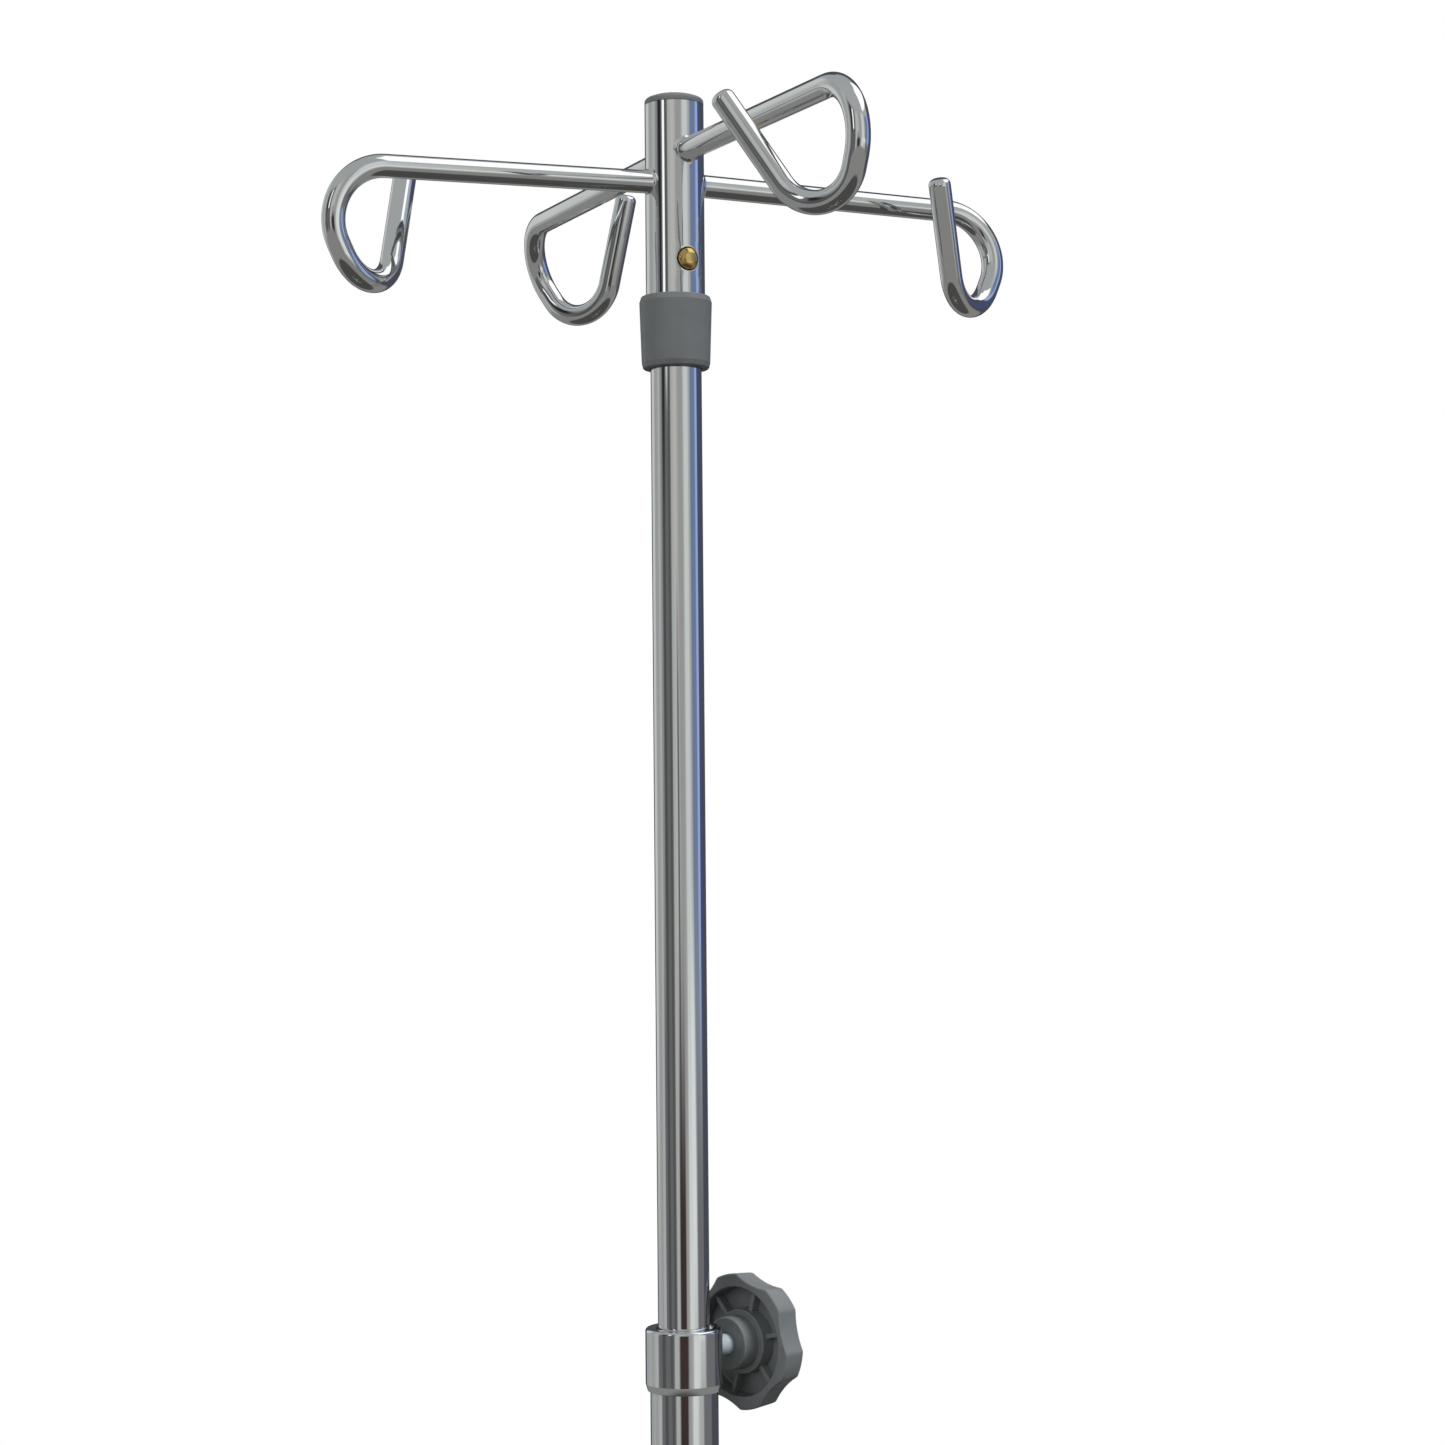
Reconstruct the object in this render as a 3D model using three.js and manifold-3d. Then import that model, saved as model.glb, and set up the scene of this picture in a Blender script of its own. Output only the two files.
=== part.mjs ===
// Free-standing IV pole: a five-leg castor base, a telescopic chrome pole with a clamp knob, and a
// push-fit head that carries four bent-rod hooks. Millimetres, +Z up. The origin is on the floor,
// on the pole's axis. The right-hand hook points along +X and the back hook along +Y.

import * as THREE from 'three';
import { mergeVertices } from 'three/addons/utils/BufferGeometryUtils.js';
import Module from 'manifold-3d';

const wasm = await Module();
wasm.setup();

// ---------------------------------------------------------------- driving dimensions

const GAP = 0.3; // left between two pieces that touch
const WALL = 1.2; // wall of all three tubes

const INNER_R = 9.5; // 19 mm sliding tube
const HEAD_R = 11; // 22 mm head tube
const OUTER_R = 12.5; // 25 mm standing tube

const ARM_Z = 1500; // axis of the left and right hooks
const CROSS_ARM_RISE = 10.6; // front and back hooks are this much higher
const HEAD_TOP = ARM_Z + 29;
const CAP_CROWN = 3.5;
const BUTTON_Z = ARM_Z - 30;
const COLLAR_TOP = ARM_Z - 42.7;
const COLLAR_BOTTOM = ARM_Z - 69.6;
const HEAD_BOTTOM = ARM_Z - 60;
const INNER_TOP = ARM_Z - 12;
const COUPLING_TOP = ARM_Z - 423;
const COUPLING_BOTTOM = ARM_Z - 446;
const CLAMP_Z = ARM_Z - 432; // axis of the clamp screw
const OUTER_TOP = CLAMP_Z - 6.7;
const OUTER_BOTTOM = 100;
const INNER_BOTTOM = 500;

const ROD_R = 4.25; // hook rod
const HOOK_BENDS = [
  { radius: 19.1, angle: 116.4, twist: -9.2, straight: 3.8 },
  { radius: 15.7, angle: 128.9, twist: -33.4, straight: 35.6 },
];
const HOOKS = [
  { name: 'hook_right', azimuth: -1.5, rise: 0, reach: 117.0, tilt: -0.1, roll: -0.1 },
  { name: 'hook_back', azimuth: 90.1, rise: CROSS_ARM_RISE, reach: 117.3, tilt: -1.6, roll: -12.1 },
  { name: 'hook_left', azimuth: 180.8, rise: 0, reach: 116.1, tilt: -2.5, roll: 0.3 },
  { name: 'hook_front', azimuth: 270.6, rise: CROSS_ARM_RISE, reach: 111.8, tilt: 0.4, roll: 11.4 },
];

const BUTTON_R = 4;
const COUPLING_R = 14.2;

const CLAMP_AZIMUTH = 18; // the clamp screw points this far round from +X
const STUD_R = 4; // M8
const KNOB_R = 25.3; // over the lobes, at the rim's face
const KNOB_BACK_R = 24.6;
const KNOB_LOBES = 6;
const KNOB_PHASE = 16.5; // where the first flute and rib lie round the knob
const FLUTE_HALF_ANGLE = 18;
const HUB_FACE = 22.2; // distances from the pole's axis, outward along the screw
const RIM_FACE = 28.3;
const KNOB_BACK = 38.2;

const LEGS = 5;
const LEG_TIP_R = 13;
const LEG_ROOT_HALF_WIDTH = 15;
const LEG_ROOT_R = 22.3; // how near to the axis the legs reach
const LEG_TIP_Z = [79, 100];
const LEG_ROOT_Z = [86, 118];
const HUB_R = 46;
const HUB_BOTTOM = LEG_ROOT_Z[0];
const HUB_TOP = 178;

const WHEEL_R = 31.5; // 63 mm castor wheel
const WHEEL_WIDTH = 22;
const WHEEL_CORE_R = 24;
const TRAIL = 33.5; // from a castor's swivel axis back to its axle
const STEM_R = 5.5;
const STEM_TOP = LEG_TIP_Z[1] - 3.6;
const AXLE_R = 4;
const CROWN_Z = [66.5, 69.5];
const CHEEK = [13.2, 15.7]; // inner and outer face of a fork cheek, from the wheel's middle
const PEDAL_PIVOT = { back: 20, z: 73.5 };
const PIN_R = 2;
const LUG = [12.5, 15.2]; // inner and outer face of a brake lug

// The castors all trail towards -Y, and this radius then puts the outline's middle on the pole.
const STEM_CIRCLE = (TRAIL + WHEEL_R - CHEEK[1]) / (1 - Math.sin(THREE.MathUtils.degToRad(54)));

// ---------------------------------------------------------------- finishes

const FINISHES = {
  chrome: { color: 0xc9cccd, roughness: 0.08, metalness: 1 },
  zinc: { color: 0xb9bdbe, roughness: 0.3, metalness: 1 },
  brass: { color: 0xc79a45, roughness: 0.25, metalness: 1 },
  springSteel: { color: 0x8d9091, roughness: 0.35, metalness: 1 },
  greyPlastic: { color: 0x686c6d, roughness: 0.55, metalness: 0 },
  nylon: { color: 0xd9d6cc, roughness: 0.5, metalness: 0 },
  greyPaint: { color: 0x8a8f92, roughness: 0.4, metalness: 0 },
  greyRubber: { color: 0x55585a, roughness: 0.8, metalness: 0 },
};

// ---------------------------------------------------------------- solids

// A manifold solid from a closed geometry, turned to face outward.
function solid(geometry) {
  const bare = new THREE.BufferGeometry();
  const source = geometry.index ? geometry.toNonIndexed() : geometry;
  bare.setAttribute('position', source.getAttribute('position').clone());
  const merged = mergeVertices(bare, 1e-4);
  const corners = [];
  for (let i = 0; i < merged.index.count; i += 3) {
    const [a, b, c] = [0, 1, 2].map((k) => merged.index.getX(i + k));
    if (a !== b && b !== c && c !== a) corners.push([a, b, c]);
  }
  const build = (triangles) =>
    new wasm.Manifold(
      new wasm.Mesh({
        numProp: 3,
        vertProperties: merged.getAttribute('position').array,
        triVerts: new Uint32Array(triangles.flat()),
      }),
    );
  const made = build(corners);
  return made.volume() < 0 ? build(corners.map(([a, b, c]) => [a, c, b])) : made;
}

// The same solid as a geometry with flat faces.
function geometryOf(made) {
  const mesh = made.getMesh();
  const geometry = new THREE.BufferGeometry();
  geometry.setAttribute('position', new THREE.BufferAttribute(new Float32Array(mesh.vertProperties), 3));
  geometry.setIndex(new THREE.BufferAttribute(new Uint32Array(mesh.triVerts), 1));
  const flat = geometry.toNonIndexed();
  flat.computeVertexNormals();
  return flat;
}

// Cuts and joins.
const cut = (body, ...tools) => tools.reduce((rest, tool) => rest.subtract(tool), body);
const join = (...bodies) => bodies.reduce((sum, body) => sum.add(body));

const radians = THREE.MathUtils.degToRad;

// A geometry after a rotation in degrees about X, then Y, then Z, and a shift.
function placed(geometry, [turnX, turnY, turnZ] = [0, 0, 0], shift = [0, 0, 0]) {
  return geometry
    .rotateX(radians(turnX))
    .rotateY(radians(turnY))
    .rotateZ(radians(turnZ))
    .translate(...shift);
}

// A ring or a solid of revolution about Z, from a closed outline of [radius, height] points.
function turned(outline, sides = 32) {
  const points = [...outline, outline[0]].map(([r, z]) => new THREE.Vector2(r, z));
  return new THREE.LatheGeometry(points, sides).rotateX(Math.PI / 2);
}

const ringOutline = (inner, outer, low, high) => [
  [inner, low],
  [outer, low],
  [outer, high],
  [inner, high],
];

// A round bar along Z.
function bar(radius, low, high, sides = 24) {
  const made = new THREE.CylinderGeometry(radius, radius, high - low, sides);
  return made.rotateX(Math.PI / 2).translate(0, 0, (low + high) / 2);
}

function block([x0, x1], [y0, y1], [z0, z1]) {
  const made = new THREE.BoxGeometry(x1 - x0, y1 - y0, z1 - z0);
  return made.translate((x0 + x1) / 2, (y0 + y1) / 2, (z0 + z1) / 2);
}

// An outline in XY pushed along Z.
function prism(shape, low, high, curveSegments = 8) {
  const made = new THREE.ExtrudeGeometry(shape, { depth: high - low, bevelEnabled: false, curveSegments });
  return made.translate(0, 0, low);
}

const outlineShape = (points) => new THREE.Shape(points.map(([x, y]) => new THREE.Vector2(x, y)));

// ---------------------------------------------------------------- bent rods

// The centre line of a bent rod: stations with a point and a direction, read in equal steps.
class BentPath extends THREE.Curve {
  constructor(stations) {
    super();
    this.stations = stations;
  }

  between(key, t, target) {
    const place = t * (this.stations.length - 1);
    const before = Math.min(Math.floor(place), this.stations.length - 2);
    return target.lerpVectors(this.stations[before][key], this.stations[before + 1][key], place - before);
  }

  getPoint(t, target = new THREE.Vector3()) {
    return this.between('point', t, target);
  }

  getPointAt(t, target = new THREE.Vector3()) {
    return this.between('point', t, target);
  }

  getTangentAt(t, target = new THREE.Vector3()) {
    return this.between('along', t, target).normalize();
  }
}

// The rod leaves the tube along +X, bends down and back under itself, and its free end rises
// beside it. Each bend's twist turns the plane of bending about the rod before the arc starts.
function hookStations(reach) {
  const point = new THREE.Vector3(HEAD_R - 2, 0, 0);
  const along = new THREE.Vector3(1, 0, 0);
  const inward = new THREE.Vector3(0, 0, -1);
  const stations = [];
  const record = () => stations.push({ point: point.clone(), along: along.clone() });
  record();
  point.x = reach;
  record();
  for (const { radius, angle, twist, straight } of HOOK_BENDS) {
    inward.applyAxisAngle(along, radians(twist));
    const axis = new THREE.Vector3().crossVectors(along, inward);
    const centre = point.clone().addScaledVector(inward, radius);
    const steps = Math.ceil(angle / 20);
    for (let step = 1; step <= steps; step += 1) {
      along.applyAxisAngle(axis, radians(angle / steps));
      inward.applyAxisAngle(axis, radians(angle / steps));
      point.copy(centre).addScaledVector(inward, -radius);
      record();
    }
    point.addScaledVector(along, straight);
    record();
  }
  return stations;
}

function hook({ azimuth, rise, reach, tilt, roll }) {
  const place = new THREE.Matrix4()
    .makeRotationZ(radians(azimuth))
    .multiply(new THREE.Matrix4().makeRotationY(-radians(tilt)))
    .multiply(new THREE.Matrix4().makeRotationX(radians(roll)));
  const stations = hookStations(reach).map(({ point, along }) => ({
    point: point.applyMatrix4(place).add(new THREE.Vector3(0, 0, ARM_Z + rise)),
    along: along.transformDirection(place),
  }));
  const section = new THREE.Shape().absarc(0, 0, ROD_R, 0, Math.PI * 2, false);
  const sweep = { extrudePath: new BentPath(stations), steps: stations.length - 1, curveSegments: 4 };
  const rod = new THREE.ExtrudeGeometry(section, { ...sweep, bevelEnabled: false });
  const tip = new THREE.SphereGeometry(ROD_R, 8, 6).translate(...stations.at(-1).point.toArray());
  const tubeRoom = bar(HEAD_R + GAP, COLLAR_TOP, HEAD_TOP, 36);
  return cut(join(solid(rod), solid(tip)), solid(tubeRoom));
}

// ---------------------------------------------------------------- head

const buttonHole = () => solid(placed(bar(BUTTON_R + GAP, 0, HEAD_R + 2, 16), [90, 0, 0], [0, 0, BUTTON_Z]));

function headTube() {
  const tube = turned(ringOutline(HEAD_R - WALL, HEAD_R, HEAD_BOTTOM, HEAD_TOP), 40);
  return cut(solid(tube), buttonHole());
}

function headCap() {
  const plugR = HEAD_R - WALL - 2 * GAP;
  const plugLow = HEAD_TOP - 12;
  const seat = HEAD_TOP + GAP;
  const crown = HEAD_TOP + CAP_CROWN;
  return solid(
    turned([
      [0, plugLow],
      [plugR, plugLow],
      [plugR, seat],
      [HEAD_R, seat],
      [HEAD_R, crown - 1.9],
      [HEAD_R - 0.8, crown - 0.8],
      [HEAD_R - 3.5, crown - 0.2],
      [0, crown],
    ]),
  );
}

const SPRING_LEG = [5.1, 5.9]; // inner and outer face of each leg, from the pole's axis

// A domed pin along Z with a rivet head inside the tube.
function snapButton() {
  const rivetR = BUTTON_R + 0.7;
  const [rivetLow, rivetHigh] = [3.3, SPRING_LEG[0] - GAP];
  const domeTop = HEAD_R + 2;
  return solid(
    placed(
      turned(
        [
          [0, rivetLow],
          [rivetR, rivetLow],
          [rivetR, rivetHigh],
          [BUTTON_R, rivetHigh],
          [BUTTON_R, HEAD_R + 0.4],
          [BUTTON_R - 0.7, domeTop - 0.7],
          [0, domeTop],
        ],
        16,
      ),
      [90, 0, 0],
      [0, 0, BUTTON_Z],
    ),
  );
}

// A U of spring strip inside the sliding tube. The button is riveted through its front leg.
function buttonSpring() {
  const [legInner, legOuter] = SPRING_LEG;
  const stripHalfWidth = 5.5;
  const legTop = BUTTON_Z + 7;
  const bendZ = BUTTON_Z - 26;
  const strip = new THREE.Shape();
  strip.moveTo(-legOuter, legTop);
  strip.lineTo(-legOuter, bendZ);
  strip.absarc(0, bendZ, legOuter, Math.PI, Math.PI * 2, false);
  strip.lineTo(legOuter, legTop);
  strip.lineTo(legInner, legTop);
  strip.lineTo(legInner, bendZ);
  strip.absarc(0, bendZ, legInner, Math.PI * 2, Math.PI, true);
  strip.lineTo(-legInner, legTop);
  // The outline is drawn in (Y, Z): turning about X then Z stands it across the tube.
  const u = placed(prism(strip, -stripHalfWidth, stripHalfWidth, 8), [90, 0, 90]);
  return cut(solid(u), buttonHole());
}

// Tapered sleeve over the joint: the head tube's end stands on a lip inside it.
function collarSleeve() {
  const lip = HEAD_BOTTOM - GAP;
  return solid(
    turned(
      [
        [INNER_R + GAP, COLLAR_BOTTOM],
        [11.7, COLLAR_BOTTOM],
        [12.4, COLLAR_BOTTOM + 1.2],
        [12.6, COLLAR_BOTTOM + 3.5],
        [13.5, COLLAR_TOP - 2.6],
        [12.7, COLLAR_TOP],
        [HEAD_R + GAP, COLLAR_TOP],
        [HEAD_R + GAP, lip],
        [INNER_R + GAP, lip],
      ],
      28,
    ),
  );
}

// ---------------------------------------------------------------- telescopic pole

function innerTube() {
  const tube = turned(ringOutline(INNER_R - WALL, INNER_R, INNER_BOTTOM, INNER_TOP), 40);
  return cut(solid(tube), buttonHole());
}

// Nylon plug in the sliding tube's end, a running fit in the standing tube.
function innerTubeGlide() {
  const shoulder = INNER_BOTTOM - GAP;
  const boreR = 4;
  const glideR = OUTER_R - WALL - 0.1;
  const stemR = INNER_R - WALL - GAP;
  const [low, high] = [shoulder - 20, shoulder + 22];
  return solid(
    turned(
      [
        [boreR, low],
        [glideR, low],
        [glideR, shoulder],
        [stemR, shoulder],
        [stemR, high],
        [boreR, high],
      ],
      36,
    ),
  );
}

const outerTube = () => solid(turned(ringOutline(OUTER_R - WALL, OUTER_R, OUTER_BOTTOM, OUTER_TOP), 40));

const clampHole = () => solid(placed(bar(STUD_R + GAP, 0, COUPLING_R + 3, 20), [0, 90, 0], [0, 0, CLAMP_Z]));

// Chrome collar brazed over the standing tube's end. The clamp screw passes through its thick half.
function coupling() {
  const shoulder = OUTER_TOP + GAP;
  const body = turned(
    [
      [INNER_R + 0.5, shoulder],
      [INNER_R + 0.5, COUPLING_TOP - 1],
      [INNER_R + 1.5, COUPLING_TOP],
      [COUPLING_R - 1.2, COUPLING_TOP],
      [COUPLING_R, COUPLING_TOP - 1.2],
      [COUPLING_R, COUPLING_BOTTOM + 2.6],
      [OUTER_R + 0.9, COUPLING_BOTTOM],
      [OUTER_R + GAP, COUPLING_BOTTOM],
      [OUTER_R + GAP, shoulder],
    ],
    32,
  );
  return cut(solid(body), clampHole());
}

// Nylon bush in the standing tube's mouth, a running fit on the sliding tube.
const guideBush = () =>
  solid(turned(ringOutline(INNER_R + 0.12, OUTER_R - WALL - GAP, OUTER_TOP - 43, OUTER_TOP), 36));

// ---------------------------------------------------------------- clamp

const PAD_SEAT = INNER_R + GAP;
const PAD_THICKNESS = 1.6;
const STUD_TIP = PAD_SEAT + PAD_THICKNESS + GAP;
const STUD_END = 34;

const thrustPad = () => solid(placed(bar(STUD_R - 0.4, PAD_SEAT, PAD_SEAT + PAD_THICKNESS, 16), [0, 90, 0]));

function clampStud() {
  const outline = [
    [0, STUD_TIP],
    [STUD_R - 1, STUD_TIP],
    [STUD_R, STUD_TIP + 1],
    [STUD_R, STUD_END],
    [0, STUD_END],
  ];
  return solid(placed(turned(outline, 20), [0, 90, 0]));
}

// Round lobes with a shallow flute between each two.
function knobOutline() {
  const shape = new THREE.Shape();
  const corner = (angle) => [KNOB_R * Math.cos(radians(angle)), KNOB_R * Math.sin(radians(angle))];
  const pitch = 360 / KNOB_LOBES;
  const fluteControl = 21.7; // radius of each flute curve's control point
  for (let lobe = 0; lobe < KNOB_LOBES; lobe += 1) {
    const middle = KNOB_PHASE + lobe * pitch;
    const from = middle + FLUTE_HALF_ANGLE;
    const to = middle + pitch - FLUTE_HALF_ANGLE;
    if (lobe === 0) shape.moveTo(...corner(from));
    shape.absarc(0, 0, KNOB_R, radians(from), radians(to), false);
    const next = radians(middle + pitch);
    const control = [fluteControl * Math.cos(next), fluteControl * Math.sin(next)];
    shape.quadraticCurveTo(...control, ...corner(middle + pitch + FLUTE_HALF_ANGLE));
  }
  return shape;
}

// Narrows a geometry evenly from its full size at one height to a smaller one at another.
function tapered(geometry, full, small, scale) {
  const position = geometry.getAttribute('position');
  for (let i = 0; i < position.count; i += 1) {
    const along = (position.getZ(i) - full) / (small - full);
    const size = 1 + along * (scale - 1);
    position.setXY(i, position.getX(i) * size, position.getY(i) * size);
  }
  return geometry;
}

// Hand knob: lobed rim with its open side towards the pole, stepped hub, back wall and ribs.
function knobBody() {
  const [cavityR, wallFrom] = [20.3, 35.2];
  const [hubR, stepR, stepFrom] = [9.85, 12, 29.5];
  const [ribFrom, ribThickness] = [31.5, 1.8];
  const outside = prism(knobOutline(), RIM_FACE, KNOB_BACK, 4);
  const rim = cut(
    solid(tapered(outside, RIM_FACE, KNOB_BACK, KNOB_BACK_R / KNOB_R)),
    solid(bar(cavityR, RIM_FACE - 1, wallFrom, 30)),
  );
  const hub = join(
    solid(bar(hubR, HUB_FACE, KNOB_BACK - 1, 24)),
    solid(bar(stepR, stepFrom, KNOB_BACK - 1, 24)),
  );
  const ribs = [];
  for (let rib = 0; rib < KNOB_LOBES; rib += 1) {
    const thickness = [-ribThickness / 2, ribThickness / 2];
    const web = block([hubR - 2, cavityR + 1], thickness, [ribFrom, KNOB_BACK - 1]);
    ribs.push(solid(placed(web, [0, 0, KNOB_PHASE + (rib * 360) / KNOB_LOBES])));
  }
  const studHole = solid(bar(STUD_R + GAP, HUB_FACE - 1, STUD_END + GAP, 20));
  const body = cut(join(rim, hub, ...ribs), studHole);
  return solid(placed(geometryOf(body), [0, 90, 0]));
}

// ---------------------------------------------------------------- base

const TUBE_SEAT = OUTER_BOTTOM - GAP;
const BOLT_R = 5; // M10
const NECK_R = 19;

// Cast hub: a neck that holds the standing tube, over five slots that hold the legs' roots.
function baseHub() {
  const body = turned(
    [
      [BOLT_R + 2 * GAP, HUB_BOTTOM],
      [HUB_R, HUB_BOTTOM],
      [HUB_R, LEG_ROOT_Z[1] + 3],
      [HUB_R - 3, LEG_ROOT_Z[1] + 6],
      [30, LEG_ROOT_Z[1] + 12],
      [NECK_R + 3, LEG_ROOT_Z[1] + 20],
      [NECK_R, LEG_ROOT_Z[1] + 32],
      [NECK_R - 1.5, HUB_TOP],
      [OUTER_R + GAP, HUB_TOP],
      [OUTER_R + GAP, TUBE_SEAT],
      [BOLT_R + 2 * GAP, TUBE_SEAT],
    ],
    30,
  );
  const slots = [];
  for (let leg = 0; leg < LEGS; leg += 1) {
    const halfWidth = LEG_ROOT_HALF_WIDTH + GAP;
    const room = [HUB_BOTTOM - 1, LEG_ROOT_Z[1] + GAP];
    const slot = block([LEG_ROOT_R - GAP, HUB_R + 5], [-halfWidth, halfWidth], room);
    slots.push(solid(placed(slot, [0, 0, legAzimuth(leg)])));
  }
  return cut(solid(body), ...slots);
}

function legAzimuth(leg) {
  return 90 + (leg * 360) / LEGS;
}

// One leg along +X: the plan and the side outline, crossed, and hollow from below.
function legBody() {
  const plan = new THREE.Shape();
  plan.moveTo(LEG_ROOT_R, -LEG_ROOT_HALF_WIDTH);
  plan.lineTo(HUB_R + 6, -LEG_ROOT_HALF_WIDTH);
  plan.lineTo(STEM_CIRCLE, -LEG_TIP_R);
  plan.absarc(STEM_CIRCLE, 0, LEG_TIP_R, -Math.PI / 2, Math.PI / 2, false);
  plan.lineTo(HUB_R + 6, LEG_ROOT_HALF_WIDTH);
  plan.lineTo(LEG_ROOT_R, LEG_ROOT_HALF_WIDTH);
  const side = outlineShape([
    [LEG_ROOT_R, LEG_ROOT_Z[0]],
    [HUB_R + 8, LEG_ROOT_Z[0]],
    [STEM_CIRCLE - 28, LEG_TIP_Z[0]],
    [STEM_CIRCLE + 20, LEG_TIP_Z[0]],
    [STEM_CIRCLE + 20, LEG_TIP_Z[1] - 1],
    [STEM_CIRCLE - 24, LEG_TIP_Z[1]],
    [HUB_R + 30, LEG_ROOT_Z[1] - 3.5],
    [HUB_R + 2, LEG_ROOT_Z[1]],
    [LEG_ROOT_R, LEG_ROOT_Z[1]],
  ]);
  const profile = placed(prism(side, -20, 20), [90, 0, 0]);
  const pocketSide = outlineShape([
    [HUB_R + 14, LEG_TIP_Z[0] - 2],
    [STEM_CIRCLE - 26, LEG_TIP_Z[0] - 2],
    [STEM_CIRCLE - 26, LEG_TIP_Z[1] - 5],
    [HUB_R + 14, LEG_ROOT_Z[1] - 7],
  ]);
  const pocketHalfWidth = LEG_TIP_R - 4;
  const pocket = placed(prism(pocketSide, -pocketHalfWidth, pocketHalfWidth), [90, 0, 0]);
  const stemBore = bar(STEM_R + GAP, LEG_TIP_Z[0] - 1, STEM_TOP + GAP, 16).translate(STEM_CIRCLE, 0, 0);
  const whole = solid(prism(plan, 60, 130, 5)).intersect(solid(profile));
  return cut(whole, solid(pocket), solid(stemBore));
}

const PLATE_Z = [HUB_BOTTOM - GAP - 4, HUB_BOTTOM - GAP];
const WASHER_R = 12;
const WASHER_SEAT = PLATE_Z[0] + 0.6; // the washer sits in a shallow recess
const WASHER_Z = [WASHER_SEAT - GAP - 2, WASHER_SEAT - GAP];
const BOLT_HEAD_Z = [WASHER_Z[0] - GAP - 6.4, WASHER_Z[0] - GAP];
const PLUG_Z = [OUTER_BOTTOM + 1, OUTER_BOTTOM + 21];

// The bolt pulls this plate up under the legs, against the plug in the tube's end.
function basePlate() {
  const boreR = BOLT_R + 2 * GAP;
  const recessR = WASHER_R + 1.5;
  const rimR = HUB_R - 1;
  return solid(
    turned(
      [
        [boreR, WASHER_SEAT],
        [recessR, WASHER_SEAT],
        [recessR, PLATE_Z[0]],
        [rimR, PLATE_Z[0]],
        [rimR, PLATE_Z[1]],
        [boreR, PLATE_Z[1]],
      ],
      30,
    ),
  );
}

const tubePlug = () => solid(turned(ringOutline(BOLT_R + GAP, OUTER_R - WALL - GAP, ...PLUG_Z), 24));
const retainingWasher = () => solid(turned(ringOutline(BOLT_R + GAP, WASHER_R, ...WASHER_Z), 24));

function retainingBolt() {
  const head = bar(17 / Math.sqrt(3), ...BOLT_HEAD_Z, 6); // 17 mm across flats
  return join(solid(head), solid(bar(BOLT_R, BOLT_HEAD_Z[1] - 1, PLUG_Z[1] - 1, 20)));
}

// ---------------------------------------------------------------- castors

// Every castor is made about its own swivel axis, and its wheel trails along -Y.

const FLANGE_Z = [LEG_TIP_Z[0] - GAP - 2.9, LEG_TIP_Z[0] - GAP];
const CUP_TOP = FLANGE_Z[0] - GAP;

// Grip stem, its flange under the leg, and the riveted end under the fork's crown.
function castorStem() {
  const neckR = STEM_R - 0.4;
  return solid(
    turned(
      [
        [0, CROWN_Z[0] - GAP - 3.5],
        [8, CROWN_Z[0] - GAP - 3.5],
        [8, CROWN_Z[0] - GAP],
        [neckR, CROWN_Z[0] - GAP],
        [neckR, FLANGE_Z[0]],
        [9.5, FLANGE_Z[0]],
        [9.5, FLANGE_Z[1]],
        [STEM_R, FLANGE_Z[1]],
        [STEM_R, STEM_TOP],
        [0, STEM_TOP],
      ],
      12,
    ),
  );
}

// One fork cheek, drawn in (distance back from the swivel axis, height).
function cheekShape() {
  const lobe = 9;
  const cheek = new THREE.Shape();
  cheek.moveTo(-10, CROWN_Z[1]);
  cheek.lineTo(-10, CROWN_Z[0] - 2);
  cheek.lineTo(TRAIL - lobe * 0.9, WHEEL_R - lobe * 0.45);
  cheek.absarc(TRAIL, WHEEL_R, lobe, radians(205), radians(375), false);
  cheek.lineTo(24, CROWN_Z[1]);
  return cheek;
}

// Turns an outline drawn in (distance back, height), pushed along its own Z, to lie across X.
const across = (geometry) => placed(geometry, [90, 0, -90]);

// Lay a geometry made about Z on the axle, or on the pedal's pivot.
const onAxle = (geometry) => solid(placed(geometry, [0, 90, 0], [0, -TRAIL, WHEEL_R]));
const onPivot = (geometry) => solid(placed(geometry, [0, 90, 0], [0, -PEDAL_PIVOT.back, PEDAL_PIVOT.z]));

function castorFork(withBrake) {
  const [inner, outer] = CHEEK;
  const crownBack = 24;
  const cupR = 14;
  const parts = [
    solid(bar(outer, ...CROWN_Z, 16)),
    solid(block([-outer, outer], [-crownBack, 0], CROWN_Z)),
    solid(across(prism(cheekShape(), inner, outer, 3))),
    solid(across(prism(cheekShape(), -outer, -inner, 3))),
    solid(bar(cupR, CROWN_Z[1] - 1, CUP_TOP, 16)),
  ];
  if (withBrake) {
    const lugY = [-PEDAL_PIVOT.back - 4, -PEDAL_PIVOT.back + 4];
    const lugZ = [CROWN_Z[0] + 1, PEDAL_PIVOT.z + 4];
    parts.push(solid(block(LUG, lugY, lugZ)), solid(block([-LUG[1], -LUG[0]], lugY, lugZ)));
  }
  const tools = [
    solid(bar(STEM_R - 0.1, CROWN_Z[0] - 1, CUP_TOP + 1, 16)),
    onAxle(bar(AXLE_R + 0.1, -outer - 1, outer + 1, 16)),
  ];
  if (withBrake) tools.push(onPivot(bar(PIN_R + 0.1, -20, 20, 16)));
  return cut(join(...parts), ...tools);
}

function castorAxle() {
  const headR = 6.5;
  const headHeight = 3;
  const end = CHEEK[1] + GAP;
  const shank = solid(bar(AXLE_R, -end - 1, end + 1, 16));
  const heads = [
    solid(bar(headR, end, end + headHeight, 12)),
    solid(bar(headR, -end - headHeight, -end, 12)),
  ];
  return onAxle(geometryOf(join(shank, ...heads)));
}

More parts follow.
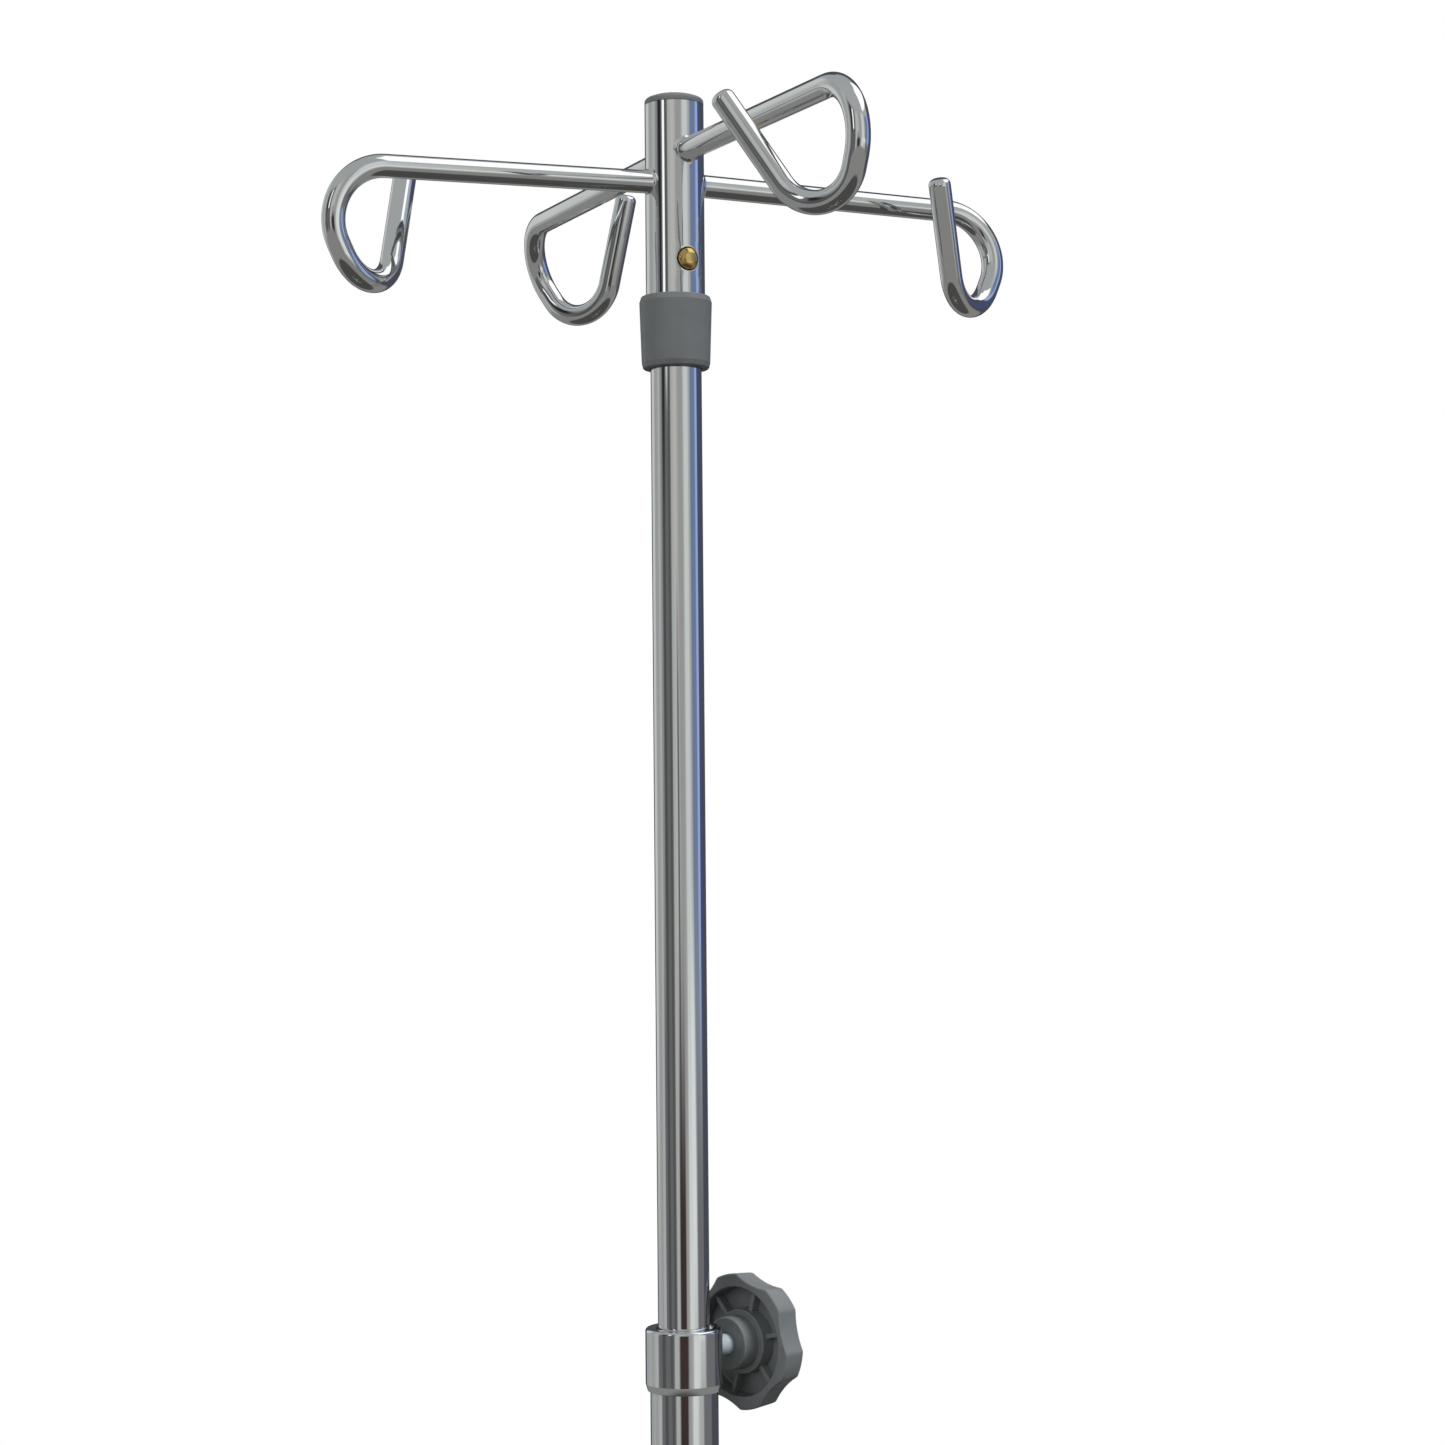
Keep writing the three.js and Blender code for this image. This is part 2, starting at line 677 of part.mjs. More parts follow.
function castorWheel() {
  const [boreR, bossR, rimR] = [AXLE_R + 0.12, 9, WHEEL_CORE_R - 4];
  const [bossHalf, webHalf, rimHalf] = [12, 2.5, 9];
  return onAxle(
    turned(
      [
        [boreR, -bossHalf],
        [bossR, -bossHalf],
        [bossR, -webHalf],
        [rimR, -webHalf],
        [rimR, -rimHalf],
        [WHEEL_CORE_R, -rimHalf],
        [WHEEL_CORE_R, rimHalf],
        [rimR, rimHalf],
        [rimR, webHalf],
        [bossR, webHalf],
        [bossR, bossHalf],
        [boreR, bossHalf],
      ],
      16,
    ),
  );
}

function castorTyre() {
  const inside = WHEEL_CORE_R + GAP;
  const half = WHEEL_WIDTH / 2;
  return onAxle(
    turned(
      [
        [inside, -half],
        [WHEEL_R - 2.5, -half],
        [WHEEL_R, -half + 3.5],
        [WHEEL_R, half - 3.5],
        [WHEEL_R - 2.5, half],
        [inside, half],
      ],
      32,
    ),
  );
}

// Foot pedal over the wheel. Pressed down, its shoe meets the tyre.
function brakePedal() {
  const fromPivot = [
    [-4, -3],
    [6, -3],
    [21, -3.5],
    [24, -8.3],
    [32, -10.45],
    [34, -3.5],
    [46, 0.5],
    [46, 4],
    [33, 0.5],
    [12, 1.5],
    [4, 4],
    [-2, 4],
    [-4, 2],
  ];
  const profile = outlineShape(fromPivot.map(([back, up]) => [PEDAL_PIVOT.back + back, PEDAL_PIVOT.z + up]));
  return cut(solid(across(prism(profile, -12, 12))), onPivot(bar(PIN_R + 0.1, -20, 20, 16)));
}

const brakePin = () => onPivot(bar(PIN_R, -16.5, 16.5, 16));

// ---------------------------------------------------------------- the object

const object = new THREE.Group();
object.name = 'iv_pole';

function mesh(name, body, finish, parent = object) {
  const material = new THREE.MeshStandardMaterial(FINISHES[finish]);
  const piece = new THREE.Mesh(geometryOf(body), material);
  piece.name = name;
  parent.add(piece);
}

mesh('head_tube', headTube(), 'chrome');
mesh('head_cap', headCap(), 'greyPlastic');
for (const shape of HOOKS) mesh(shape.name, hook(shape), 'chrome');
mesh('snap_button', snapButton(), 'brass');
mesh('button_spring', buttonSpring(), 'springSteel');
mesh('collar_sleeve', collarSleeve(), 'greyPlastic');

mesh('inner_tube', innerTube(), 'chrome');
mesh('inner_tube_glide', innerTubeGlide(), 'nylon');
mesh('outer_tube', outerTube(), 'chrome');
mesh('guide_bush', guideBush(), 'nylon');

const clampSide = new THREE.Group();
clampSide.rotation.z = radians(CLAMP_AZIMUTH);
object.add(clampSide);
mesh('coupling', coupling(), 'chrome', clampSide);
const clamp = new THREE.Group();
clamp.position.z = CLAMP_Z;
clampSide.add(clamp);
mesh('thrust_pad', thrustPad(), 'brass', clamp);
mesh('clamp_stud', clampStud(), 'zinc', clamp);
mesh('knob', knobBody(), 'greyPlastic', clamp);

mesh('base_hub', baseHub(), 'greyPaint');
mesh('base_plate', basePlate(), 'zinc');
mesh('tube_plug', tubePlug(), 'zinc');
mesh('retaining_washer', retainingWasher(), 'zinc');
mesh('retaining_bolt', retainingBolt(), 'zinc');

for (let leg = 0; leg < LEGS; leg += 1) {
  const number = leg + 1;
  const azimuth = radians(legAzimuth(leg));
  const arm = new THREE.Group();
  arm.rotation.z = azimuth;
  object.add(arm);
  mesh(`leg_${number}`, legBody(), 'greyPaint', arm);

  const braked = number === 2 || number === 5;
  const castor = new THREE.Group();
  castor.position.set(STEM_CIRCLE * Math.cos(azimuth), STEM_CIRCLE * Math.sin(azimuth), 0);
  object.add(castor);
  mesh(`castor_stem_${number}`, castorStem(), 'zinc', castor);
  mesh(`castor_fork_${number}`, castorFork(braked), 'zinc', castor);
  mesh(`castor_axle_${number}`, castorAxle(), 'zinc', castor);
  mesh(`castor_wheel_${number}`, castorWheel(), 'greyPlastic', castor);
  mesh(`castor_tyre_${number}`, castorTyre(), 'greyRubber', castor);
  if (braked) {
    mesh(`brake_pedal_${number}`, brakePedal(), 'greyPlastic', castor);
    mesh(`brake_pin_${number}`, brakePin(), 'zinc', castor);
  }
}

export default object;
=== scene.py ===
"""Looks for the IV pole: smooth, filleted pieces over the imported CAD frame, procedural finishes,
a pale floor, and a studio surround that the chrome reflects.

Outlines are written in millimetres, as in the CAD, and become metres when a mesh is made.
"""

import math

import bmesh
import bpy
from mathutils import Matrix, Vector


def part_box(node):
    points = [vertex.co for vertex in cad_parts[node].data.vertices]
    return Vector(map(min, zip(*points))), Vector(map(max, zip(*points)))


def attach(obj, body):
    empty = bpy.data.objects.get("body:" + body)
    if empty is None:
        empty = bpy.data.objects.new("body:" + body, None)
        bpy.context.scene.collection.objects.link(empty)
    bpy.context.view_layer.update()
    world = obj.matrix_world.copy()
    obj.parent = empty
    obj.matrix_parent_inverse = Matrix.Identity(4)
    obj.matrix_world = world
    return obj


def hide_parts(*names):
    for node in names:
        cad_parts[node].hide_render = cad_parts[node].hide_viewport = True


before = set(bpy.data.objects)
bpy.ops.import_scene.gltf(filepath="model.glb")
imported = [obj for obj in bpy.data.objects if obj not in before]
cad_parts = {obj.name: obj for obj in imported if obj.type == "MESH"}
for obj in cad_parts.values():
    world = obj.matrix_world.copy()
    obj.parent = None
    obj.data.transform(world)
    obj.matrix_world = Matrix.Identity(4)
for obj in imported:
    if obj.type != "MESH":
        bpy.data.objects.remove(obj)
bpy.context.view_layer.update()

MM = 0.001


def box_mm(node):
    """Lowest and highest corner of a CAD node, in millimetres."""
    low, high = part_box(node)
    return low / MM, high / MM


# ---- sizes taken from the frame

HEAD_LOW, HEAD_HIGH = box_mm("head_tube")
CAP_LOW, CAP_HIGH = box_mm("head_cap")
BUTTON_LOW, BUTTON_HIGH = box_mm("snap_button")
SLEEVE_LOW, SLEEVE_HIGH = box_mm("collar_sleeve")
INNER_LOW, INNER_HIGH = box_mm("inner_tube")
OUTER_LOW, OUTER_HIGH = box_mm("outer_tube")
COUPLING_LOW, COUPLING_HIGH = box_mm("coupling")
HUB_LOW, HUB_HIGH = box_mm("base_hub")
LEG_LOW, LEG_HIGH = box_mm("leg_1")
STEM_LOW, STEM_HIGH = box_mm("castor_stem_1")
TYRE_TOP = box_mm("castor_tyre_1")[1].z

WALL = 1.2
GAP = 0.3
HEAD_RADIUS = HEAD_HIGH.y
INNER_RADIUS = INNER_HIGH.y
OUTER_RADIUS = OUTER_HIGH.y
COUPLING_RADIUS = 14.2
ARM_HEIGHT = HEAD_HIGH.z - 29
BUTTON_HEIGHT = (BUTTON_LOW.z + BUTTON_HIGH.z) / 2
BUTTON_RADIUS = 4
BUTTON_HOLE = BUTTON_RADIUS + GAP
STUD_RADIUS = 4
CLAMP_HEIGHT = ARM_HEIGHT - 432
CLAMP_AZIMUTH = 18

ROD_RADIUS = 4.25
ROD_END = 2.4
SHORT_ROD_END = 0.9  # the back hook's
CROSS_ARM_RISE = 10.6
HOOK_BENDS = (  # radius, angle, twist of its plane, straight length after it
    (19.1, 116.4, -9.2, 3.8),
    (15.7, 128.9, -33.4, 35.6),
)
HOOKS = (  # name, azimuth, rise, reach, tilt, roll
    ("right", -1.5, 0, 117.0, -0.1, -0.1),
    ("back", 90.1, CROSS_ARM_RISE, 117.3, -1.6, -12.1),
    ("left", 180.8, 0, 116.1, -2.5, 0.3),
    ("front", 270.6, CROSS_ARM_RISE, 111.8, 0.4, 11.4),
)

KNOB_RADIUS = 25.3
KNOB_BACK_RADIUS = 24.6
KNOB_LOBES = 6
KNOB_PHASE = 16.5
FLUTE_HALF_ANGLE = 18
FLUTE_FLOOR = 22.95
HUB_FACE = 22.2
RIM_FACE = 28.3
KNOB_BACK = 38.2
CAVITY_RADIUS = 20.3
CAVITY_FLOOR = 35.2

LEGS = 5
BRAKED = (2, 5)
WHEEL_RADIUS = TYRE_TOP / 2
TRAIL = 33.5
BRAKE_BACK = 20.0  # the pedal's pin, behind the castor's stem
BRAKE_HEIGHT = 73.5
HOLE_REACH = 18  # half the length of a hole cut right through a fork or a pedal
HUB_SHOULDER = 118  # the top of the legs' roots
STEM_CIRCLE = (STEM_LOW.y + STEM_HIGH.y) / 2
LEG_ROOT_RADIUS = LEG_LOW.y
LEG_ROOT_HALF_WIDTH = 15
LEG_TIP_RADIUS = LEG_HIGH.y - STEM_CIRCLE
LEG_TIP_LENGTH = 28  # the level part before the castor's stem

# ---- meshes

SMOOTH_ANGLE = 38


def piece(name, vertices, faces, smooth_angle=SMOOTH_ANGLE):
    """A new object from points in millimetres, shaded smooth up to the given angle."""
    mesh = bpy.data.meshes.new(name)
    mesh.from_pydata([Vector(v) * MM for v in vertices], [], faces)
    work = bmesh.new()
    work.from_mesh(mesh)
    bmesh.ops.remove_doubles(work, verts=work.verts, dist=1e-7)
    bmesh.ops.recalc_face_normals(work, faces=work.faces)
    work.to_mesh(mesh)
    work.free()
    made = bpy.data.objects.new(name, mesh)
    bpy.context.scene.collection.objects.link(made)
    shade(made, smooth_angle)
    return made


def shade(made, smooth_angle=SMOOTH_ANGLE):
    """Smooth shading with sharp edges past the angle, and large faces kept flat."""
    made.data.shade_smooth()
    made.data.set_sharp_from_angle(angle=math.radians(smooth_angle))
    made.modifiers.new("normals", "WEIGHTED_NORMAL").keep_sharp = True


def apply_modifiers(made):
    """Makes the object's modifiers part of its mesh."""
    graph = bpy.context.evaluated_depsgraph_get()
    mesh = bpy.data.meshes.new_from_object(made.evaluated_get(graph))
    made.modifiers.clear()
    made.data = mesh


def combine(body, tools, operation):
    """Joins the tools to the body, or cuts them from it, and removes them."""
    body.modifiers.clear()
    for tool in tools:
        tool.modifiers.clear()
        step = body.modifiers.new("boolean", "BOOLEAN")
        step.operation = operation
        step.solver = "EXACT"
        step.object = tool
        apply_modifiers(body)
    for tool in tools:
        bpy.data.objects.remove(tool)
    shade(body)
    return body


def filleted(corners, steps=5):
    """A closed outline of points from corners (x, y, fillet radius)."""
    outline = []
    count = len(corners)
    for i, (x, y, radius) in enumerate(corners):
        here = Vector((x, y))
        if radius <= 0:
            outline.append(here)
            continue
        back = Vector(corners[i - 1][:2]) - here
        ahead = Vector(corners[(i + 1) % count][:2]) - here
        half = back.angle(ahead) / 2
        reach = min(radius / math.tan(half), 0.49 * back.length, 0.49 * ahead.length)
        back.normalize()
        ahead.normalize()
        centre = here + (back + ahead).normalized() * (reach / math.cos(half))
        start = here + back * reach - centre
        sweep = start.angle_signed(here + ahead * reach - centre)
        for step in range(steps + 1):
            turn = Matrix.Rotation(-sweep * step / steps, 2)
            outline.append(centre + turn @ start)
    return outline


def turned_mesh(outline, segments=96, radius_at=None):
    """Points and faces of an outline [radius, height] turned about Z.

    radius_at(point index, angle) gives the radius instead, where it isn't the same all round."""
    vertices, faces, rings = [], [], []
    for i, (radius, height) in enumerate(outline):
        if radius < 1e-6:
            rings.append([len(vertices)] * segments)
            vertices.append((0, 0, height))
            continue
        rings.append(list(range(len(vertices), len(vertices) + segments)))
        for k in range(segments):
            angle = 2 * math.pi * k / segments
            r = radius_at(i, angle) if radius_at else radius
            vertices.append((r * math.cos(angle), r * math.sin(angle), height))
    for i, ring in enumerate(rings):
        following = rings[(i + 1) % len(rings)]
        for k in range(segments):
            n = (k + 1) % segments
            corners = [ring[k], ring[n], following[n], following[k]]
            face = [c for j, c in enumerate(corners) if c not in corners[:j]]
            if len(face) > 2:
                faces.append(face)
    return vertices, faces


def bridge(a, b):
    """Faces between two closed rings of points."""
    return [[a[i - 1], a[i], b[i], b[i - 1]] for i in range(len(a))]


def moved(vertices, place):
    return [place @ Vector(v) for v in vertices]


def turned(name, corners, segments=96, place=Matrix.Identity(4), steps=5):
    """A solid of revolution from corners (radius, height, fillet)."""
    vertices, faces = turned_mesh(filleted(corners, steps), segments)
    return piece(name, moved(vertices, place), faces)


def bar(name, radius, low, high, segments=48, place=Matrix.Identity(4)):
    """A plain cylinder along Z, as a tool to cut or join."""
    corners = [(0, low, 0), (radius, low, 0), (radius, high, 0), (0, high, 0)]
    return turned(name, corners, segments, place)


def mirrored(corners):
    """Corners of an outline that is the same above and below, from those of its lower half."""
    return corners + [(x, -y, fillet) for x, y, fillet in reversed(corners)]


def prism(name, outline, low, high, place=Matrix.Identity(4), bevel=0.0):
    """A flat outline in XY pushed from low to high along Z, with rounded edges."""
    count = len(outline)
    vertices = [(x, y, z) for z in (low, high) for x, y in outline]
    faces = [list(range(count)), list(range(2 * count - 1, count - 1, -1))]
    faces += [[i, (i + 1) % count, count + (i + 1) % count, count + i] for i in range(count)]
    made = piece(name, moved(vertices, place), faces)
    if bevel:
        round_edges(made, bevel)
    return made


def round_edges(made, width):
    made.modifiers.clear()
    rounding = made.modifiers.new("rounding", "BEVEL")
    rounding.width = width * MM
    rounding.segments = 3
    rounding.limit_method = "ANGLE"
    rounding.angle_limit = math.radians(SMOOTH_ANGLE)
    apply_modifiers(made)
    shade(made)


def block(name, low, high, bevel=0.0, place=Matrix.Identity(4)):
    outline = [(low[0], low[1]), (high[0], low[1]), (high[0], high[1]), (low[0], high[1])]
    return prism(name, outline, low[2], high[2], place, bevel)


def rotation(degrees, axis):
    return Matrix.Rotation(math.radians(degrees), 4, axis)


def shift(x, y, z):
    return Matrix.Translation((x, y, z))


# Maps a piece made round Z onto the clamp screw's axis: Z runs outward from the pole.
ON_CLAMP = shift(0, 0, CLAMP_HEIGHT) @ rotation(CLAMP_AZIMUTH, "Z") @ rotation(90, "Y")
# The same for the snap button, which points along -Y.
ON_BUTTON = shift(0, 0, BUTTON_HEIGHT) @ rotation(90, "X")


def pierced(name, rows, hole_height, hole_radius, towards, patch=9, reach=2.0, lip=0.0):
    """A tube with a round hole through its wall, as one clean grid.

    Each row is (outer radius, outer height, inner radius, inner height), from the bottom up. The
    rows within reach hole radii of the hole's middle make way for a patch round it, which is
    2 x patch columns wide. A lip is the width of a rounded edge on the hole's outer side."""
    segments = 96
    low = next(i for i, row in enumerate(rows) if row[1] > hole_height - reach * hole_radius)
    high = max(i for i, row in enumerate(rows) if row[1] < hole_height + reach * hole_radius)
    middle = math.radians(towards)
    vertices, faces = [], []

    def point(radius, angle, height):
        vertices.append((radius * math.cos(angle), radius * math.sin(angle), height))
        return len(vertices) - 1

    def column_angle(column):
        return middle + 2 * math.pi * column / segments

    def spot_on_wall(radius, spot):
        """The point of a wall that lies behind a spot (across, up) of the hole's own plane."""
        return point(radius, middle + math.asin(spot.x / radius), hole_height + spot.y)

    columns = list(range(-patch, patch + 1))
    border = [(low, c) for c in columns] + [(r, patch) for r in range(low + 1, high + 1)]
    border += [(high, c) for c in columns[-2::-1]] + [(r, -patch) for r in range(high - 1, low, -1)]
    skins = []
    for side in (0, 1):
        grid = []
        for row in rows:
            radius, height = row[2 * side], row[2 * side + 1]
            grid.append([point(radius, column_angle(k), height) for k in range(segments)])
        for i in range(len(rows) - 1):
            for k in range(segments):
                inside = k < patch or k >= segments - patch
                if low <= i < high and inside:
                    continue
                n = (k + 1) % segments
                faces.append([grid[i][k], grid[i][n], grid[i + 1][n], grid[i + 1][k]])
        radius = rows[low][2 * side]
        edge = hole_radius + (lip if side == 0 else 0)
        starts = []
        for r, c in border:
            across = radius * math.sin(column_angle(c) - middle)
            starts.append(Vector((across, rows[r][2 * side + 1] - hole_height)))
        rings = [[grid[r][c % segments] for r, c in border]]
        for share in (0.45, 0.8, 1.0):
            spots = [start.lerp(start.normalized() * edge, share) for start in starts]
            rings.append([spot_on_wall(radius, spot) for spot in spots])
        if lip and side == 0:
            for inset, depth in ((0.1, 0.06), (0.22, 0.2), (0.26, 0.45)):
                spots = [start.normalized() * (edge - inset) for start in starts]
                rings.append([spot_on_wall(radius - depth, spot) for spot in spots])
        for a, b in zip(rings, rings[1:]):
            faces += bridge(a, b)
        skins.append((grid[0], grid[-1], rings[-1]))
    for outer, inner in zip(*skins):
        faces += bridge(outer, inner)
    return piece(name, vertices, faces)


def tube_with_button_hole(name, radius, low, high, patch=9, lip=0.0):
    """A plain tube, with close rows round its hole for the snap button."""
    end = 0.6
    heights = [low, low + end]
    heights += [BUTTON_HEIGHT + BUTTON_HOLE * t for t in (-1.7, -1.2, -0.6, 0, 0.6, 1.2, 1.7)]
    heights += [high - end, high]
    rows = [(radius, height, radius - WALL, height) for height in heights]
    return pierced(name, rows, BUTTON_HEIGHT, BUTTON_HOLE, -90, patch=patch, lip=lip)


# ---- finishes


def add_node(nodes, kind, inputs=None, **settings):
    """A shader node with its settings and the values of its inputs."""
    node = nodes.new("ShaderNode" + kind)
    for key, value in settings.items():
        setattr(node, key, value)
    for key, value in (inputs or {}).items():
        node.inputs[key].default_value = value
    return node


class Finish:
    """A procedural material on a Principled shader, with textures in the object's own metres."""

    def __init__(self, name, slot, colour, roughness, metallic=0.0, coat=0.0):
        self.name, self.slot = name, slot
        self.material = bpy.data.materials.new(name)
        self.material.use_nodes = True
        self.nodes = self.material.node_tree.nodes
        self.links = self.material.node_tree.links
        self.shader = self.nodes["Principled BSDF"]
        self.shader.inputs["Base Color"].default_value = (*colour, 1)
        self.shader.inputs["Roughness"].default_value = roughness
        self.shader.inputs["Metallic"].default_value = metallic
        self.shader.inputs["Coat Weight"].default_value = coat
        self.place = add_node(self.nodes, "TexCoord")

    def noise(self, scale, stretch=(1, 1, 1), detail=4.0):
        """A texture's values; a higher scale makes it finer."""
        mapping = add_node(self.nodes, "Mapping", {"Scale": stretch})
        texture = add_node(self.nodes, "TexNoise", {"Scale": scale, "Detail": detail, "Roughness": 0.55})
        self.links.new(self.place.outputs["Object"], mapping.inputs["Vector"])
        self.links.new(mapping.outputs["Vector"], texture.inputs["Vector"])
        return texture.outputs["Fac"]

    def colour(self, scale, dark, light, low=0.3, **noise):
        """Noise in the colour, from dark at the value low to light as far above the middle."""
        ramp = add_node(self.nodes, "ValToRGB")
        for element, position, colour in zip(ramp.color_ramp.elements, (low, 1 - low), (dark, light)):
            element.position = position
            element.color = (*colour, 1)
        self.links.new(self.noise(scale, **noise), ramp.inputs["Fac"])
        self.links.new(ramp.outputs["Color"], self.shader.inputs["Base Color"])
        return self

    def roughness(self, scale, low, high, **noise):
        """Noise in the roughness, its middle values stretched to run from low to high."""
        span = {"From Min": 0.3, "From Max": 0.7, "To Min": low, "To Max": high}
        stretch = add_node(self.nodes, "MapRange", span)
        self.links.new(self.noise(scale, **noise), stretch.inputs["Value"])
        self.links.new(stretch.outputs["Result"], self.shader.inputs["Roughness"])
        return self

    def bump(self, scale, depth_mm, strength, **noise):
        """Noise in the surface's height."""
        bump = add_node(self.nodes, "Bump", {"Strength": strength, "Distance": depth_mm * MM})
        self.links.new(self.noise(scale, **noise), bump.inputs["Height"])
        self.links.new(bump.outputs["Normal"], self.shader.inputs["Normal"])
        return self


def chrome(name, stretch):
    """Bright plate over polished steel: faint drawing lines and thin haze."""
    made = Finish(name, name, (0.80, 0.81, 0.82), 0.04, metallic=1.0)
    made.colour(35, (0.78, 0.79, 0.80), (0.83, 0.84, 0.85), low=0.35, stretch=stretch)
    made.roughness(120, 0.025, 0.075, stretch=stretch)
    return made.bump(600, 0.004, 0.4, stretch=stretch, detail=2.0)


def moulded(name, slot, dark, light, roughness):
    """Moulded plastic: slight colour drift, satin skin with a fine grain."""
    made = Finish(name, slot, light, roughness)
    made.colour(90, dark, light).roughness(400, roughness - 0.07, roughness + 0.07)
    return made.bump(2600, 0.02, 0.35, detail=2.0)


def make_finishes():
    brass = Finish("brass", "brass", (0.78, 0.55, 0.2), 0.2, metallic=1.0)
    brass.colour(700, (0.70, 0.46, 0.14), (0.85, 0.62, 0.26))
    brass.roughness(1500, 0.14, 0.3).bump(1800, 0.01, 0.3)

    zinc = Finish("zinc", "zinc", (0.6, 0.62, 0.63), 0.28, metallic=1.0)
    zinc.colour(160, (0.52, 0.54, 0.56), (0.68, 0.69, 0.69))
    zinc.roughness(500, 0.2, 0.38).bump(1400, 0.01, 0.4)

    # The screw's zinc is a lighter, teal-tinted, part-metallic copy of the zinc: a painted glint. Matt
    # light on it stands in for a highlight that a metal screw would not reflect where it sits.
    screw = Finish("screw_zinc_painted_glint", "zinc", (0.62, 0.71, 0.75), 0.2, metallic=0.4)
    screw.roughness(500, 0.16, 0.3)

    spring = Finish("spring_steel", "spring_steel", (0.34, 0.34, 0.34), 0.35, metallic=1.0)
    spring.roughness(300, 0.28, 0.42, stretch=(1, 1, 0.1)).bump(900, 0.01, 0.3)

    paint = Finish("grey_paint", "grey_paint", (0.30, 0.32, 0.33), 0.38, coat=0.15)
    paint.colour(30, (0.285, 0.305, 0.315), (0.32, 0.338, 0.348))
    paint.roughness(260, 0.32, 0.46).bump(900, 0.05, 0.35, detail=1.0)

    rubber = Finish("grey_rubber", "grey_rubber", (0.09, 0.095, 0.1), 0.72)
    rubber.colour(140, (0.075, 0.08, 0.085), (0.13, 0.133, 0.135))
    rubber.roughness(500, 0.62, 0.85).bump(1600, 0.03, 0.5)

    made = (
        chrome("chrome_tube", (1, 1, 0.03)),
        chrome("chrome_rod", (1, 1, 1)),
        chrome("chrome_collar", (0.3, 0.3, 1)),
        moulded("grey_plastic", "grey_plastic", (0.122, 0.131, 0.134), (0.142, 0.152, 0.155), 0.44),
        # The knob's plastic is the same grey plastic, made lighter: painted light that brightens the
        # knob's face and hub, which lie in the pole's shadow.
        moulded("knob_plastic_painted_light", "grey_plastic", (0.134, 0.144, 0.147), (0.156, 0.167, 0.171), 0.42),
        moulded("wheel_plastic", "grey_plastic", (0.19, 0.2, 0.205), (0.23, 0.24, 0.245), 0.42),
        moulded("nylon", "nylon", (0.70, 0.68, 0.61), (0.76, 0.74, 0.68), 0.45),
        *(brass, zinc, screw, spring, paint, rubber),
    )
    return {finish.name: finish for finish in made}


FINISHES = make_finishes()


def dress(made, finish):
    made.data.materials.clear()
    made.data.materials.append(FINISHES[finish].material)


def install(made, finish, node, body):
    """Gives a new piece its finish and its body, and hides the CAD node that it takes the place of."""
    dress(made, finish)
    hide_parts(node)
    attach(made, body)


# ---- head


def make_head():
    skin = tube_with_button_hole("head_tube_skin", HEAD_RADIUS, HEAD_LOW.z, HEAD_HIGH.z, lip=0.26)
    install(skin, "chrome_tube", "head_tube", "mast")

    plug = HEAD_RADIUS - WALL - 0.5
    seat = HEAD_HIGH.z + 0.1
    cap = turned(
        "head_cap_moulding",
        [
            (0, CAP_LOW.z, 0),
            (plug, CAP_LOW.z, 1),
            (plug, seat, 0),
            (HEAD_RADIUS, seat, 0.2),
            (HEAD_RADIUS, CAP_HIGH.z - 1.2, 1.6),
            (HEAD_RADIUS - 3, CAP_HIGH.z - 0.1, 3),
            (0, CAP_HIGH.z, 0),
        ],
        steps=8,
    )
    install(cap, "grey_plastic", "head_cap", "mast")

    top, bottom = SLEEVE_HIGH.z, SLEEVE_LOW.z
    lip = HEAD_LOW.z - 0.3
    sleeve = turned(
        "collar_sleeve_moulding",
        [
            (INNER_RADIUS + 0.25, bottom, 0.3),
            (12.2, bottom, 0.8),
            (12.75, bottom + 2.2, 1.2),
            (13.5, top - 2.2, 0.5),
            (12.8, top, 0.5),
            (HEAD_RADIUS + 0.15, top, 0.3),
            (HEAD_RADIUS + 0.15, lip, 0),
            (INNER_RADIUS + 0.25, lip, 0),
        ],
        steps=7,
    )
    install(sleeve, "grey_plastic", "collar_sleeve", "mast")


def make_button():
    """Domed pin with a rivet head at its inner end."""
    rivet_low, reach = -BUTTON_HIGH.y, -BUTTON_LOW.y
    button = turned(
        "snap_button_dome",
        [
            (0, rivet_low, 0),
            (BUTTON_RADIUS + 0.7, rivet_low, 0.4),
            (BUTTON_RADIUS + 0.7, rivet_low + 1.5, 0.2),
            (BUTTON_RADIUS, rivet_low + 1.5, 0.2),
            (BUTTON_RADIUS, reach - 1.7, 1.2),
            (BUTTON_RADIUS - 1.5, reach - 0.35, 2.2),
            (0, reach, 0),
        ],
        segments=48,
        place=ON_BUTTON,
        steps=7,
    )
    install(button, "brass", "snap_button", "button")


# ---- hooks


def hook_stations(reach, start):
    """The rod's centre line: (point, direction, a vector square to it), in the hook's own frame."""
    along, inward, square = Vector((1, 0, 0)), Vector((0, 0, -1)), Vector((0, 0, 1))
    stations = []

    def station(point):
        stations.append((point, along.copy(), square.copy()))

    station(Vector((start, 0, 0)))
    point = Vector((reach, 0, 0))
    station(point)
    for radius, angle, twist, straight in HOOK_BENDS:
        inward.rotate(Matrix.Rotation(math.radians(twist), 3, along))
        axis = along.cross(inward)
        centre = point + inward * radius
        steps = math.ceil(angle / 4)
        turn = Matrix.Rotation(math.radians(angle) / steps, 3, axis)
        for _ in range(steps):
            for vector in (along, inward, square):
                vector.rotate(turn)
            point = centre - inward * radius
            station(point)
        point = point + along * straight
        station(point)
    return stations


